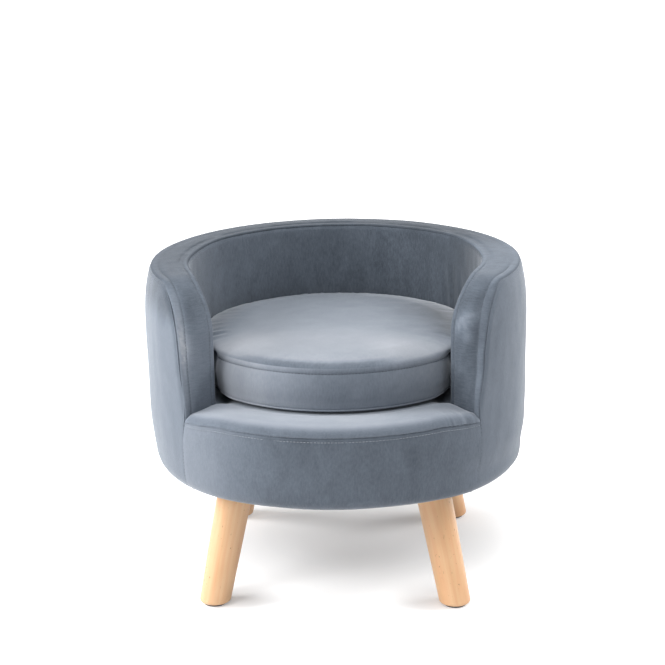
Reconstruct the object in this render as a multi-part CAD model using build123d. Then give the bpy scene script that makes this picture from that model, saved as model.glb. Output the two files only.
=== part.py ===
from build123d import *
import os
from math import cos, radians, sin, sqrt

# Round tub sofa for a small pet: a padded wall with an open mouth stands on a drum, a loose
# round cushion lies on the deck, and four splayed wooden legs carry the drum.
# Millimetres and degrees. The floor is z = 0, the axis of the drum is Z, the mouth faces -Y.

# Overall sizes
outer_radius = 250.0
overall_height = 422.0
underside_height = 156.0
deck_height = 266.0
wall_thickness = 50.0
mouth_half_angle = 48.0
arm_round = 65.0

# Curves of the outside, and rounded edges
shoulder_height = 77.0
shoulder_lean = 7.1
drum_lean = 5.5
base_round = 22.0
rim_outer_round = 4.0
rim_inner_round = 6.5
deck_roll = 14.0

# Layers of the upholstery, from the outside in
cover = 2.0
pad = 10.0
skin = 3.0
layer_gap = 0.3
seam_inset = 5.0
deck_seam_drop = 8.0
skin_lift = 10.0
turn_under = 14.0
dust_cloth = 1.0
dust_cloth_overlap = 8.0
leg_hole_clearance = 2.0

# Boards, rails, posts and blocks of the frame
base_board_thickness = 15.0
seat_board_thickness = 12.0
seat_pad_thickness = 32.0
rail_height = 22.0
post_width = 30.0
post_depth = 17.0
post_angles = (90.0, 135.0, 180.0, 225.0, 270.0)
block_count = 8
block_width = 44.0
block_depth = 30.0
block_edge_inset = 14.7

# Countersunk wood screws of the frame
screw_radius = 2.0
screw_head_radius = 4.0
screw_head_height = 2.5
screw_length = 45.0
screw_pair_spacing = 20.0

# Staples under the base
staple_count = 28
staple_crown = 10.0
staple_leg = 7.0
staple_wire = 1.2

# Legs and their fixings
leg_inset = 74.0
leg_splay = 44.7
leg_top_radius = 23.0
leg_foot_radius = 19.75
leg_foot_round = 3.5
glide_radius = 14.5
glide_thickness = 3.0
glide_nail_radius = 1.2
glide_nail_length = 16.0
bolt_radius = 4.0
bolt_in_leg = 34.0
bolt_above_board = 3.0
bolt_clearance = 0.1
nut_barrel_radius = 5.2
nut_barrel_length = 11.0
nut_flange_radius = 11.0
nut_flange_thickness = 1.5

# Loose cushion
cushion_clearance = 16.0
cushion_lift = 0.3
cushion_side = 62.7
cushion_crown = 5.0
cushion_edge_round = 4.0
cushion_bulge = 2.0
cushion_cloth = 1.5
wadding_thickness = 8.0
wadding_to_band = 3.6

# Zip at the back of the cushion band
zip_half_angle = 58.0
zip_slot_half_height = 4.5
zip_slot_end_angle = 4.0
zip_tape_height = 11.0
zip_tape_thickness = 0.8
zip_tape_gap = 0.05
zip_row_height = 2.0
zip_row_depth = 2.4
zip_row_gap = 1.4
zip_stop_angle = 1.0
slider_length = 10.0
slider_half_height = 4.0
slider_plate = 1.2
slider_gap = 0.4
slider_bridge_length = 5.0
slider_bridge_width = 0.9
slider_parking_angle = 3.0
bail_pin_radius = 0.6
bail_pin_height = 1.6
bail_cheek = 0.8
bail_cheek_inner = 1.6
bail_cheek_radius = 1.2
pull_eye_radius = 1.3
pull_eye_clearance = 0.1
pull_length = 11.0
pull_thickness = 1.2
pull_half_width = 3.0
pull_neck_half_width = 1.3
pull_neck_length = 2.4

# Radii of the wall's layers
inner_radius = outer_radius - wall_thickness
outer_cover_back = outer_radius - cover
outer_skin_face = outer_cover_back - pad
frame_outer = outer_skin_face - skin
inner_cover_back = inner_radius + cover
inner_skin_face = inner_cover_back + pad
frame_inner = inner_skin_face + skin
wall_middle = inner_radius + wall_thickness / 2
frame_inset = cover + pad
board_radius = frame_outer - layer_gap
block_radius = board_radius - block_edge_inset - block_depth / 2
cushion_radius = inner_radius - cushion_clearance

# Each leg stands on a diagonal: its middle's X and Y at the board and at the floor
leg_top_spread = (outer_radius - leg_inset) * sqrt(0.5)
leg_floor_spread = (outer_radius - leg_inset + leg_splay) * sqrt(0.5)

# Levels
base_bottom = underside_height + cover + layer_gap
base_top = base_bottom + base_board_thickness
seat_pad_top = deck_height - cover
seat_board_top = seat_pad_top - seat_pad_thickness
seat_board_bottom = seat_board_top - seat_board_thickness
band_foot = deck_height - deck_roll
deck_seam = deck_height - deck_seam_drop
skin_foot = base_bottom + skin_lift

# The outside stands upright between two levels, leans in above and below them, and ends in a round base:
# the centres of its arcs, in radius and height
upright_low = band_foot
upright_high = overall_height - shoulder_height
base_level = underside_height + base_round


def leaning_arc(height, lean):
    """The radius of an arc that starts upright and has leant in by so much after a height."""
    return (height ** 2 + lean ** 2) / (2 * lean)


shoulder_curve = leaning_arc(shoulder_height, shoulder_lean)
drum_curve = leaning_arc(upright_low - base_level, drum_lean)
drum_centre = Vector(outer_radius - drum_curve, upright_low)
shoulder_centre = Vector(outer_radius - shoulder_curve, upright_high)
base_centre = Vector(drum_centre.X + sqrt((drum_curve - base_round) ** 2 - (upright_low - base_level) ** 2),
                     base_level)
hem_radius = base_centre.X - turn_under
dust_cloth_top = underside_height
dust_cloth_radius = hem_radius + dust_cloth_overlap

# Directions of the right arm's end plane: outwards along the wall's radius, and back along the wall
arm_out = Vector(sin(radians(mouth_half_angle)), -cos(radians(mouth_half_angle)), 0)
arm_back = Vector(cos(radians(mouth_half_angle)), sin(radians(mouth_half_angle)), 0)
reach = 2 * outer_radius
margin = 10.0


def section(*edges):
    """A closed outline in radius and height, ready to be turned about Z."""
    return Plane.XZ * make_face(list(edges))


def outline(*points):
    """A straight-sided outline in radius and height."""
    return Plane.XZ * make_face(Polyline(*points, close=True))


def ring(low_radius, high_radius, low, high):
    """A plain ring about Z."""
    corners = [(low_radius, low), (high_radius, low), (high_radius, high), (low_radius, high)]
    return revolve(outline(*corners), Axis.Z)


def disc(radius, low, high):
    """A plain disc about Z."""
    return Pos(0, 0, (low + high) / 2) * Rot(0, 0, -90) * Cylinder(radius, high - low)


def base_change(inset):
    """The height at which the drum's long curve, moved in by the inset, runs into the round base."""
    along = (base_centre - drum_centre).normalized()
    return (drum_centre + along * (drum_curve - inset)).Y


def side_radius(height, inset):
    """The outside's radius at one height, moved in by the inset."""
    if height < base_change(inset):
        centre, radius = base_centre, base_round - inset
    elif height < upright_low:
        centre, radius = drum_centre, drum_curve - inset
    elif height > upright_high:
        centre, radius = shoulder_centre, shoulder_curve - inset
    else:
        return outer_radius - inset
    return centre.X + sqrt(max(0.0, radius ** 2 - (height - centre.Y) ** 2))


def tub(inset, low, high):
    """The solid inside the outside's curve, moved in by the inset, between two heights."""
    changes = [base_change(inset), upright_low, upright_high]
    stops = [low] + [h for h in changes if low < h < high] + [high]
    points = [(side_radius(h, inset), h) for h in stops]
    edges = [Line((0, low), points[0])]
    for start, end in zip(points, points[1:]):
        middle = (start[1] + end[1]) / 2
        if upright_low < middle < upright_high:
            edges.append(Line(start, end))
        else:
            edges.append(ThreePointArc(start, (side_radius(middle, inset), middle), end))
    edges += [Line(points[-1], (0, high)), Line((0, high), (0, low))]
    return Rot(0, 0, -90) * revolve(section(*edges), Axis.Z)


def round_arc(start, end, centre, radius):
    """The arc of a round edge from one point to another, by way of the middle between them."""
    away = Vector(start[0] + end[0] - 2 * centre[0], start[1] + end[1] - 2 * centre[1]).normalized()
    middle = (centre[0] + radius * away.X, centre[1] + radius * away.Y)
    return ThreePointArc(start, middle, end)


def mouth(inset, low=0.0, high=overall_height + margin):
    """The open wedge at the front, with its two faces moved into the wall by the inset."""
    apex = Vector(0, inset / sin(radians(mouth_half_angle)), 0)
    right = apex + arm_out * reach
    corners = [(apex.X, apex.Y), (right.X, right.Y), (-right.X, right.Y)]
    return Pos(0, 0, low) * extrude(make_face(Polyline(*corners, close=True)), high - low)


def arm_plane(distance):
    """The right arm's plane along and up the wall, at a distance from Z."""
    return Plane(origin=arm_out * distance, x_dir=arm_back, z_dir=arm_out)


def wall(low_radius, outside, inset, foot):
    """The C-shaped wall between a radius and an outside solid, with its top, ends and corner rounds
    drawn in."""
    top = overall_height - inset
    corner = overall_height - arm_round
    turn = (arm_round - inset) * sqrt(0.5)
    edges = [
        Line((inset, foot), (inset, corner)),
        ThreePointArc((inset, corner), (arm_round - turn, corner + turn), (arm_round, top)),
        Line((arm_round, top), (reach, top)),
        Line((reach, top), (reach, foot)),
        Line((reach, foot), (inset, foot)),
    ]
    keep = extrude(arm_plane(-reach) * make_face(edges), 2 * reach)
    right_side = Pos(reach / 2, 0, overall_height / 2) * Box(reach, 2 * reach, 2 * overall_height)
    half = (outside - disc(low_radius, 0, 2 * overall_height)) & keep & right_side
    return half + mirror(half, Plane.YZ)


def plain_wall(low_radius, high_radius, inset, foot):
    """The wall between two radii."""
    return wall(low_radius, disc(high_radius, foot - margin, overall_height + margin), inset, foot)


def bulged_wall(low_radius, inset, foot, ends):
    """The wall between a radius and the outside's curve, its ends drawn in further than its side."""
    return wall(low_radius, tub(inset, max(foot - margin, underside_height + inset),
                                overall_height + rim_outer_round), ends, foot)


def rounded_wall(low_radius, inset, foot):
    """The wall inside the outside's curve, with the long edges of its rim and arm ends rounded."""
    body = bulged_wall(low_radius, inset, foot, inset)
    for is_outer, size in ((True, rim_outer_round), (False, rim_inner_round)):
        edges = []
        for edge in body.edges():
            points = [edge @ 0.1, edge @ 0.5, edge @ 0.9]
            wanted = [side_radius(p.Z, inset) if is_outer else low_radius for p in points]
            on_face = all(abs(sqrt(p.X ** 2 + p.Y ** 2) - w) < 0.02 for p, w in zip(points, wanted))
            at_back = all(abs(p.X) < 0.02 for p in points)
            if on_face and not at_back and points[1].Z > foot + 1:
                edges.append(edge)
        body = fillet(edges, size - inset)
    return body


def polar(angle, radius, height):
    """A place at an angle from the mouth, turned so that its X axis points outwards."""
    return Rot(0, 0, angle - 90) * Pos(radius, 0, height)


# Frame: boards, blocks, posts, rail and hardboard skins
def base_board():
    body = disc(board_radius, base_bottom, base_top) & tub(cover + layer_gap, base_bottom, base_top + margin)
    for x, y in leg_corners():
        body -= Pos(x * leg_top_spread, y * leg_top_spread, base_bottom) * Cylinder(
            nut_barrel_radius + bolt_clearance, 4 * base_board_thickness)
    return body


def seat_board():
    return disc(board_radius, seat_board_bottom, seat_board_top)


def block_angles():
    return [(i + 0.5) * 360 / block_count for i in range(block_count)]


def drum_blocks():
    height = seat_board_bottom - base_top
    return [polar(a, block_radius, base_top + height / 2) * Box(block_depth, block_width, height)
            for a in block_angles()]


def rail_bottom():
    return overall_height - frame_inset - layer_gap - rail_height


def post_radius():
    return (frame_inner + frame_outer) / 2


def wall_posts():
    height = rail_bottom() - seat_board_top
    return [polar(a, post_radius(), seat_board_top + height / 2) * Box(post_depth, post_width, height)
            for a in post_angles]


def frame_hoop():
    inset = frame_inset + layer_gap
    low = frame_inner + layer_gap
    high = frame_outer - layer_gap
    inside = plain_wall(low - margin, high + margin, inset + rail_height, seat_board_top - margin)
    return plain_wall(low, high, inset, seat_board_top) - inside


def arm_zone():
    """The block of space that holds the right arm's end, up to where its round runs into the rim."""
    face = make_face(Polyline((-margin, 0), (arm_round, 0), (arm_round, overall_height + margin),
                              (-margin, overall_height + margin), close=True))
    return extrude(arm_plane(inner_radius / 2) * face, outer_radius)


def outer_skin():
    return plain_wall(frame_outer, outer_skin_face, frame_inset + layer_gap, skin_foot)


def inner_skin():
    return plain_wall(inner_skin_face, frame_inner, frame_inset + layer_gap, seat_board_top)


def front_skin():
    return ring(frame_outer, outer_skin_face, skin_foot, seat_board_top) & mouth(frame_inset)


def screw(point_up):
    """A countersunk screw, its head's face at z = 0 and its point up or down."""
    head = Cone(screw_head_radius, screw_radius, screw_head_height,
                align=(Align.CENTER, Align.CENTER, Align.MIN))
    shank = Cylinder(screw_radius, screw_length, align=(Align.CENTER, Align.CENTER, Align.MIN))
    body = head + shank
    return body if point_up else Rot(180, 0, 0) * body


def frame_screws():
    screws = []
    for angle in block_angles():
        place = polar(angle, block_radius, 0)
        screws.append(place * Pos(0, -screw_pair_spacing / 2, base_bottom) * screw(True))
        screws.append(place * Pos(0, screw_pair_spacing / 2, seat_board_top) * screw(False))
    for angle in post_angles:
        place = polar(angle, post_radius(), 0)
        screws.append(place * Pos(0, 0, seat_board_bottom) * screw(True))
        screws.append(place * Pos(0, 0, rail_bottom() + rail_height) * screw(False))
    foot = arm_out * post_radius() + arm_back * (frame_inset + rail_height / 2)
    for side in (-1, 1):
        screws.append(Pos(side * foot.X, foot.Y, seat_board_bottom) * screw(True))
    return screws


# Upholstery: foam pads under velvet covers
def back_outside_pad():
    return bulged_wall(outer_skin_face + layer_gap, cover + layer_gap, skin_foot, frame_inset + layer_gap)


def back_inside_pad():
    return plain_wall(inner_cover_back + layer_gap, inner_skin_face - layer_gap,
                      frame_inset + layer_gap, seat_board_top)


def rim_pad():
    body = rounded_wall(inner_cover_back + layer_gap, cover + layer_gap, band_foot)
    return body - plain_wall(inner_radius - margin, outer_radius + margin, frame_inset, band_foot - margin)


def front_pad():
    ring_of_foam = tub(cover + layer_gap, skin_foot, band_foot) - disc(outer_skin_face + layer_gap, 0, reach)
    return ring_of_foam & mouth(frame_inset)


def roll_section(radius, low, high):
    """The deck's top layer from Z out to the front roll, between a low and a high level."""
    centre = (side_radius(band_foot, 0) - deck_roll, band_foot)
    start = (centre[0] + sqrt(radius ** 2 - (low - band_foot) ** 2), low)
    crest = (centre[0], band_foot + radius)
    return section(Line((0, low), start), round_arc(start, crest, centre, radius),
                   Line(crest, (0, high)), Line((0, high), (0, low)))


def seat_pad():
    well = disc(inner_radius - layer_gap, seat_board_top, seat_pad_top)
    shelf = disc(outer_skin_face - layer_gap, seat_board_top, band_foot) & mouth(seam_inset - layer_gap)
    roll_radius = deck_roll - cover
    lip = revolve(roll_section(roll_radius, band_foot, band_foot + roll_radius), Axis.Z)
    return well + shelf + (lip & mouth(-layer_gap))


def deck_layer():
    """The velvet over the deck and its front roll, as a full turn."""
    outer = revolve(roll_section(deck_roll, band_foot, deck_height), Axis.Z)
    inner = revolve(roll_section(deck_roll - cover, band_foot, seat_pad_top), Axis.Z)
    return outer - inner


def deck_cover():
    layer = deck_layer() & disc(reach, deck_seam, deck_height + margin)
    return layer & (disc(inner_radius - layer_gap, 0, overall_height) + mouth(0))


def drum_layer():
    """The velvet round the drum with its turned-under hem, as a full turn."""
    inside = tub(cover, underside_height + cover, band_foot + margin)
    return tub(0, underside_height, band_foot) - inside - disc(hem_radius, 0, band_foot)


def front_cover():
    lip = deck_layer() & disc(reach, band_foot, deck_seam)
    return (drum_layer() & mouth(seam_inset)) + (lip & mouth(0))


def wall_velvet():
    """The velvet over the wall: outside, rim, arm ends and inside in one shell."""
    outer = rounded_wall(inner_radius, 0, seat_board_top)
    return outer - rounded_wall(inner_cover_back, cover, seat_board_top - margin)


def wall_covers():
    """The shell cut along its seams into the outside cover, the rim band and the inside cover."""
    shell = wall_velvet()
    field = plain_wall(inner_radius - margin, outer_radius + margin, seam_inset, seat_board_top - margin)
    above_deck = disc(reach, band_foot, overall_height + margin)
    middle = disc(wall_middle, 0, overall_height + margin)
    rim = (shell - field) & above_deck
    panels = shell & field
    outside = (panels - middle) & above_deck
    outside = outside + (drum_layer() - mouth(seam_inset))
    return outside, rim, panels & middle


def dust_cover():
    body = disc(dust_cloth_radius, dust_cloth_top - dust_cloth, dust_cloth_top)
    for x, y in leg_corners():
        slope = (leg_floor_spread - leg_top_spread) / base_bottom
        spread = leg_top_spread + slope * (base_bottom - dust_cloth_top)
        body -= Pos(x * spread, y * spread, dust_cloth_top) * Cylinder(leg_top_radius + leg_hole_clearance, margin)
    return body


def staples():
    radius = dust_cloth_radius - dust_cloth_overlap / 2
    low = dust_cloth_top - dust_cloth - staple_wire
    crown = Pos(0, 0, low + staple_wire / 2) * Box(staple_wire, staple_crown, staple_wire)
    leg = Pos(0, 0, low + staple_leg / 2) * Box(staple_wire, staple_wire, staple_leg)
    offset = (staple_crown - staple_wire) / 2
    staple = crown + Pos(0, offset, 0) * leg + Pos(0, -offset, 0) * leg
    return [polar((i + 0.5) * 360 / staple_count, radius, 0) * staple for i in range(staple_count)]


# Legs, bolts, nuts and glides
def leg_corners():
    return [(-1, -1), (1, -1), (-1, 1), (1, 1)]


def leg(x, y):
    foot = Vector(x * leg_floor_spread, y * leg_floor_spread, 0)
    top = Vector(x * leg_top_spread, y * leg_top_spread, base_bottom)
    along = top - foot
    spare = 0.15
    growth = leg_top_radius - leg_foot_radius
    body = Solid.make_cone(leg_foot_radius - spare * growth, leg_top_radius + spare * growth,
                           along.length * (1 + 2 * spare), Plane(foot - along * spare, z_dir=along))
    body = body & disc(reach, glide_thickness, base_bottom)
    body = fillet(body.edges().group_by(Axis.Z)[0], leg_foot_round)
    bore = Pos(top.X, top.Y, base_bottom - bolt_in_leg / 2) * Cylinder(
        bolt_radius + bolt_clearance, bolt_in_leg)
    return body - bore


def hanger_bolts():
    low = base_bottom - bolt_in_leg
    high = base_top + nut_flange_thickness + bolt_above_board
    return [Pos(x * leg_top_spread, y * leg_top_spread, 0) * disc(bolt_radius, low, high)
            for x, y in leg_corners()]


def tee_nuts():
    nut = disc(nut_flange_radius, base_top, base_top + nut_flange_thickness)
    nut += disc(nut_barrel_radius, base_top - nut_barrel_length, base_top)
    nut -= disc(bolt_radius + bolt_clearance, 0, overall_height)
    return [Pos(x * leg_top_spread, y * leg_top_spread, 0) * nut for x, y in leg_corners()]


def foot_place(x, y, height):
    """The middle of a leg at a height near the floor."""
    spread = leg_floor_spread + (leg_top_spread - leg_floor_spread) * height / base_bottom
    return Pos(x * spread, y * spread, 0)


def foot_glides():
    glide = disc(glide_radius, 0, glide_thickness)
    glide = fillet(glide.edges().group_by(Axis.Z)[0], glide_thickness / 3)
    return [foot_place(x, y, glide_thickness) * glide for x, y in leg_corners()]


def glide_nails():
    nail = disc(glide_nail_radius, glide_thickness / 2, glide_nail_length)
    return [foot_place(x, y, glide_thickness) * nail for x, y in leg_corners()]


# Loose cushion: foam core, wadding and a boxed velvet cover
cushion_bottom = deck_height + cushion_lift
cushion_top = cushion_bottom + cushion_side
lower_seam = cushion_bottom + cushion_edge_round
upper_seam = cushion_top - cushion_edge_round
band_back = cushion_radius - cushion_cloth
wadding_radius = band_back - wadding_to_band


def crown_arc(radius, height):
    """The crowned top of a disc from its edge to its middle, part of a ball centred on Z."""
    ball = (radius ** 2 + cushion_crown ** 2) / (2 * cushion_crown)
    centre = height + cushion_crown - ball
    middle = (radius / 2, centre + sqrt(ball ** 2 - radius ** 2 / 4))
    return ThreePointArc((radius, height), middle, (0, height + cushion_crown))


def cushion_form():
    """The cushion's outside: flat below, swelling band, drawn-in seams and a crowned top."""
    rim = cushion_radius - cushion_edge_round
    low_seam = (cushion_radius, lower_seam)
    high_seam = (cushion_radius, upper_seam)
    swell = (cushion_radius + cushion_bulge, (lower_seam + upper_seam) / 2)
    shoulder = (rim, cushion_top)
    crest = (0, cushion_top + cushion_crown)
    return revolve(section(
        Line((0, cushion_bottom), (rim, cushion_bottom)),
        round_arc((rim, cushion_bottom), low_seam, (rim, lower_seam), cushion_edge_round),
        ThreePointArc(low_seam, swell, high_seam),
        round_arc(high_seam, shoulder, (rim, upper_seam), cushion_edge_round),
        crown_arc(rim, cushion_top),
        Line(crest, (0, cushion_bottom))), Axis.Z)


def crowned_disc(radius, low, high):
    """A flat-bottomed disc whose top has the cushion's crown."""
    crest = (0, high + cushion_crown)
    return revolve(section(
        Line((0, low), (radius, low)), Line((radius, low), (radius, high)),
        crown_arc(radius, high),
        Line(crest, (0, low))), Axis.Z)


def cushion_core():
    shrink = wadding_thickness + layer_gap
    return crowned_disc(wadding_radius - shrink, cushion_bottom + cushion_cloth + shrink,
                        cushion_top - cushion_cloth - layer_gap - shrink)


def cushion_wadding():
    low = cushion_bottom + cushion_cloth
    high = cushion_top - cushion_cloth - layer_gap
    hollow = crowned_disc(wadding_radius - wadding_thickness, low + wadding_thickness,
                          high - wadding_thickness)
    return crowned_disc(wadding_radius, low, high) - hollow


def cushion_shell():
    return cushion_form() - crowned_disc(band_back, cushion_bottom + cushion_cloth,
                                         cushion_top - cushion_cloth)


def back_arc(face, start, end):
    """A profile turned about Z between two angles that are counted from the cushion's back."""
    return Rot(0, 0, 90 + start) * revolve(face, Axis.Z, end - start)


zip_height = (lower_seam + upper_seam) / 2
tape_outer = band_back - zip_tape_gap
tape_inner = tape_outer - zip_tape_thickness
row_outer = (tape_outer + tape_inner + zip_row_depth) / 2
row_inner = row_outer - zip_row_depth
slider_park = zip_half_angle - slider_parking_angle
pin_radius = row_outer + slider_gap + slider_plate + bail_pin_height


def cushion_band():
    shell = cushion_shell() & ring(band_back - cushion_cloth, reach, lower_seam, upper_seam)
    end = zip_half_angle + zip_slot_end_angle
    slot = outline((band_back - margin, zip_height - zip_slot_half_height),
                   (outer_radius, zip_height - zip_slot_half_height),
                   (outer_radius, zip_height + zip_slot_half_height),
                   (band_back - margin, zip_height + zip_slot_half_height))
    return shell - back_arc(slot, -end, end)


def cushion_top_cover():
    return cushion_shell() & disc(reach, upper_seam, cushion_top + cushion_crown + margin)


def cushion_bottom_cover():
    return cushion_shell() & disc(reach, 0, lower_seam)


def zip_strip(low_radius, high_radius, low, high, start, end):
    """A strip along the zip's arc, above the zip's middle, and its twin below."""
    strips = []
    for side in (-1, 1):
        z_low = zip_height + side * low
        z_high = zip_height + side * high
        face = outline((low_radius, z_low), (high_radius, z_low), (high_radius, z_high), (low_radius, z_high))
        strips.append(back_arc(face, start, end))
    return strips


def row_foot():
    return zip_row_gap / 2


def row_top():
    return zip_row_gap / 2 + zip_row_height


def zip_tapes():
    end = zip_half_angle + zip_slot_end_angle
    return zip_strip(tape_inner, tape_outer, row_top(), row_top() + zip_tape_height, -end, end)


def zip_chain():
    return zip_strip(row_inner, row_outer, row_foot(), row_top(), -zip_half_angle, zip_half_angle)


def zip_stops():
    stop = outline((row_inner, zip_height - row_top()), (row_outer, zip_height - row_top()),
                   (row_outer, zip_height + row_top()), (row_inner, zip_height + row_top()))
    return [back_arc(stop, -zip_half_angle - zip_stop_angle, -zip_half_angle),
            back_arc(stop, zip_half_angle, zip_half_angle + zip_stop_angle)]


def at_slider(shape):
    """From the slider's own place, X outwards and Y along the zip, to its parking end."""
    return Rot(0, 0, 90 - slider_park) * Pos(0, 0, zip_height) * shape


def zip_slider():
    outer_low = row_outer + slider_gap
    outer_high = outer_low + slider_plate
    inner_high = row_inner - slider_gap
    inner_low = inner_high - slider_plate
    plate = Box(slider_plate, slider_length, 2 * slider_half_height)
    body = Pos((outer_low + outer_high) / 2, 0, 0) * plate
    body += Pos((inner_low + inner_high) / 2, 0, 0) * plate
    bridge = Box(outer_high - inner_low, slider_bridge_length, slider_bridge_width)
    body += Pos((inner_low + outer_high) / 2, 0, 0) * bridge
    cheek_span = pin_radius - outer_high
    for side in (-1, 1):
        z = side * (bail_cheek_inner + bail_cheek / 2)
        web = Pos(outer_high + cheek_span / 2, 0, z) * Box(cheek_span, 2 * bail_cheek_radius, bail_cheek)
        body += web + Pos(pin_radius, 0, z) * Cylinder(bail_cheek_radius, bail_cheek)
    body += Pos(pin_radius, 0, 0) * Cylinder(bail_pin_radius, 2 * bail_cheek_inner)
    return at_slider(body)


def zip_pull():
    neck = Pos(pin_radius, -pull_neck_length / 2, 0) * Box(
        pull_thickness, pull_neck_length, 2 * pull_neck_half_width)
    tab_length = pull_length - pull_neck_length
    tab = Box(pull_thickness, tab_length, 2 * pull_half_width)
    tab = fillet(tab.edges().filter_by(Axis.X), pull_half_width / 2)
    tab = Pos(pin_radius, -pull_neck_length - tab_length / 2, 0) * tab
    eye = Pos(pin_radius, 0, 0) * Cylinder(pull_eye_radius, 2 * pull_neck_half_width)
    hole = Pos(pin_radius, 0, 0) * Cylinder(bail_pin_radius + pull_eye_clearance, outer_radius)
    return at_slider(eye + neck + tab - hole)


def write(name, shape):
    """One file for one node; a list of shapes becomes a group of separate solids."""
    if isinstance(shape, (list, tuple)):
        shape = Compound(children=[Part(s.wrapped) if not isinstance(s, Part) else s for s in shape])
    export_step(shape, f"parts/{name}.step")


def main():
    os.makedirs("parts", exist_ok=True)
    write("base_board", base_board())
    write("seat_board", seat_board())
    write("drum_blocks", drum_blocks())
    write("wall_posts", wall_posts())
    hoop = frame_hoop()
    right = arm_zone()
    left = mirror(right, Plane.YZ)
    write("arm_profile_right", hoop & right)
    write("arm_profile_left", hoop & left)
    write("top_rail", hoop - right - left)
    write("outer_skin", outer_skin())
    write("inner_skin", inner_skin())
    write("front_skin", front_skin())
    write("frame_screws", frame_screws())
    write("back_outside_pad", back_outside_pad())
    write("back_inside_pad", back_inside_pad())
    write("rim_pad", rim_pad())
    write("front_pad", front_pad())
    write("seat_pad", seat_pad())
    outside, rim, inside = wall_covers()
    write("back_outside_cover", outside)
    write("rim_cover", rim)
    write("back_inside_cover", inside)
    write("deck_cover", deck_cover())
    write("front_cover", front_cover())
    write("dust_cover", dust_cover())
    write("staples", staples())
    for name, (x, y) in zip(("front_left", "front_right", "rear_left", "rear_right"), leg_corners()):
        write(f"leg_{name}", leg(x, y))
    write("hanger_bolts", hanger_bolts())
    write("tee_nuts", tee_nuts())
    write("foot_glides", foot_glides())
    write("glide_nails", glide_nails())
    write("cushion_core", cushion_core())
    write("cushion_wadding", cushion_wadding())
    write("cushion_top_cover", cushion_top_cover())
    write("cushion_band", cushion_band())
    write("cushion_bottom_cover", cushion_bottom_cover())
    write("zip_tapes", zip_tapes())
    write("zip_chain", zip_chain())
    write("zip_stops", zip_stops())
    write("zip_slider", zip_slider())
    write("zip_pull", zip_pull())


main()
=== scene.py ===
import bpy
from math import acos, asin, cos, exp, hypot, pi, radians, sin, sqrt, tanh
from mathutils import Matrix, Vector, noise


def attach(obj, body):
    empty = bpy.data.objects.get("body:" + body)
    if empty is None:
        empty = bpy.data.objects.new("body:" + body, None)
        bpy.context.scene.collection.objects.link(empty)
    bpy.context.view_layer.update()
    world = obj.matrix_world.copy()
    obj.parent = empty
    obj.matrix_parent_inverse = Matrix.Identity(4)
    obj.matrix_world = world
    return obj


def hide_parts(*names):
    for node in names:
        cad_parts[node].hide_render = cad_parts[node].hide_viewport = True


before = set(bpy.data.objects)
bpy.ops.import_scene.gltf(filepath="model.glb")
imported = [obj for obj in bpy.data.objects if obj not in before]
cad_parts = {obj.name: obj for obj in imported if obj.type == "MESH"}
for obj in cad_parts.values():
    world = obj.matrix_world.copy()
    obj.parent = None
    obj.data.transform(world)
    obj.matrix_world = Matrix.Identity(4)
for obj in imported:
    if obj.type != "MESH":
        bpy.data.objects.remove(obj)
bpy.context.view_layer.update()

# Sizes of the bed in metres, as its solids have them
outside = 0.250
inside = 0.200
rim_level = 0.422
deck_level = 0.266
underside = 0.156
arm_turn = radians(132)
arm_round = 0.065
shoulder_foot = 0.345
shoulder_bend = 0.421
drum_top = 0.252
drum_bend = 0.5006
base_bend = 0.022
base_middle = 0.22247
base_level = 0.178
hem = 0.2085
roll_bend = 0.014
cushion_edge = 0.184
zip_level = 0.29765
zip_gap = 0.0045
zip_reach = radians(62)
slot_reach = radians(59.5)

# Seams, lips and padding of the covers
outer_line = 0.246
inner_line = 0.2005
mouth_line = 0.22
crevice_line = 0.19
seam_depth = 0.0022
seam_width = 0.0028
lip_height = 0.005
tuck_drop = 0.0008
tuck_draw = 0.0018
deck_stitch_level = 0.2516
cushion_stitch_level = 0.3177
cushion_low_seam = 0.2718
cover_padding = 0.0022
deck_padding = 0.0020
cushion_padding = 0.0014
crisp_edge = radians(50)

# How the upholsterer's hand left the bed a little uneven
left_reach = radians(0.9)
left_seam_lean = radians(1.6)
right_seam_lean = radians(2.0)
side_plump = 0.0085


# Handwork that every piece needs
def nothing_selected():
    if bpy.context.object and bpy.context.object.mode != "OBJECT":
        bpy.ops.object.mode_set(mode="OBJECT")
    bpy.ops.object.select_all(action="DESELECT")


def only(piece):
    nothing_selected()
    piece.select_set(True)
    bpy.context.view_layer.objects.active = piece


def edit(choice=None):
    """Opens the active piece's mesh, with all or none of it selected where that is asked for."""
    bpy.ops.object.mode_set(mode="EDIT")
    if choice:
        bpy.ops.mesh.select_all(action=choice)


def leave():
    bpy.ops.object.mode_set(mode="OBJECT")


def named(piece, name):
    piece.name = name
    piece.data.name = name
    return piece


def apply_all(piece):
    only(piece)
    for modifier in list(piece.modifiers):
        bpy.ops.object.modifier_apply(modifier=modifier.name)


def finished(piece, body, slot, material, *nodes):
    """Gives a piece its finish and the body that carries it, and hides the nodes it stands for."""
    piece.data.materials.clear()
    piece.data.materials.append(material)
    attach(piece, body)
    if nodes:
        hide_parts(*nodes)
    return piece


# Nodes of the materials
def new_material(name):
    material = bpy.data.materials.new(name)
    material.use_nodes = True
    nodes = material.node_tree.nodes
    return material, nodes, material.node_tree.links, nodes["Principled BSDF"]


def tuned(nodes, kind, **values):
    """A new node with its sockets and settings."""
    node = nodes.new(kind)
    for key, value in values.items():
        socket = key.replace("_", " ")
        if socket in node.inputs:
            node.inputs[socket].default_value = value
        else:
            setattr(node, key, value)
    return node


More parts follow.
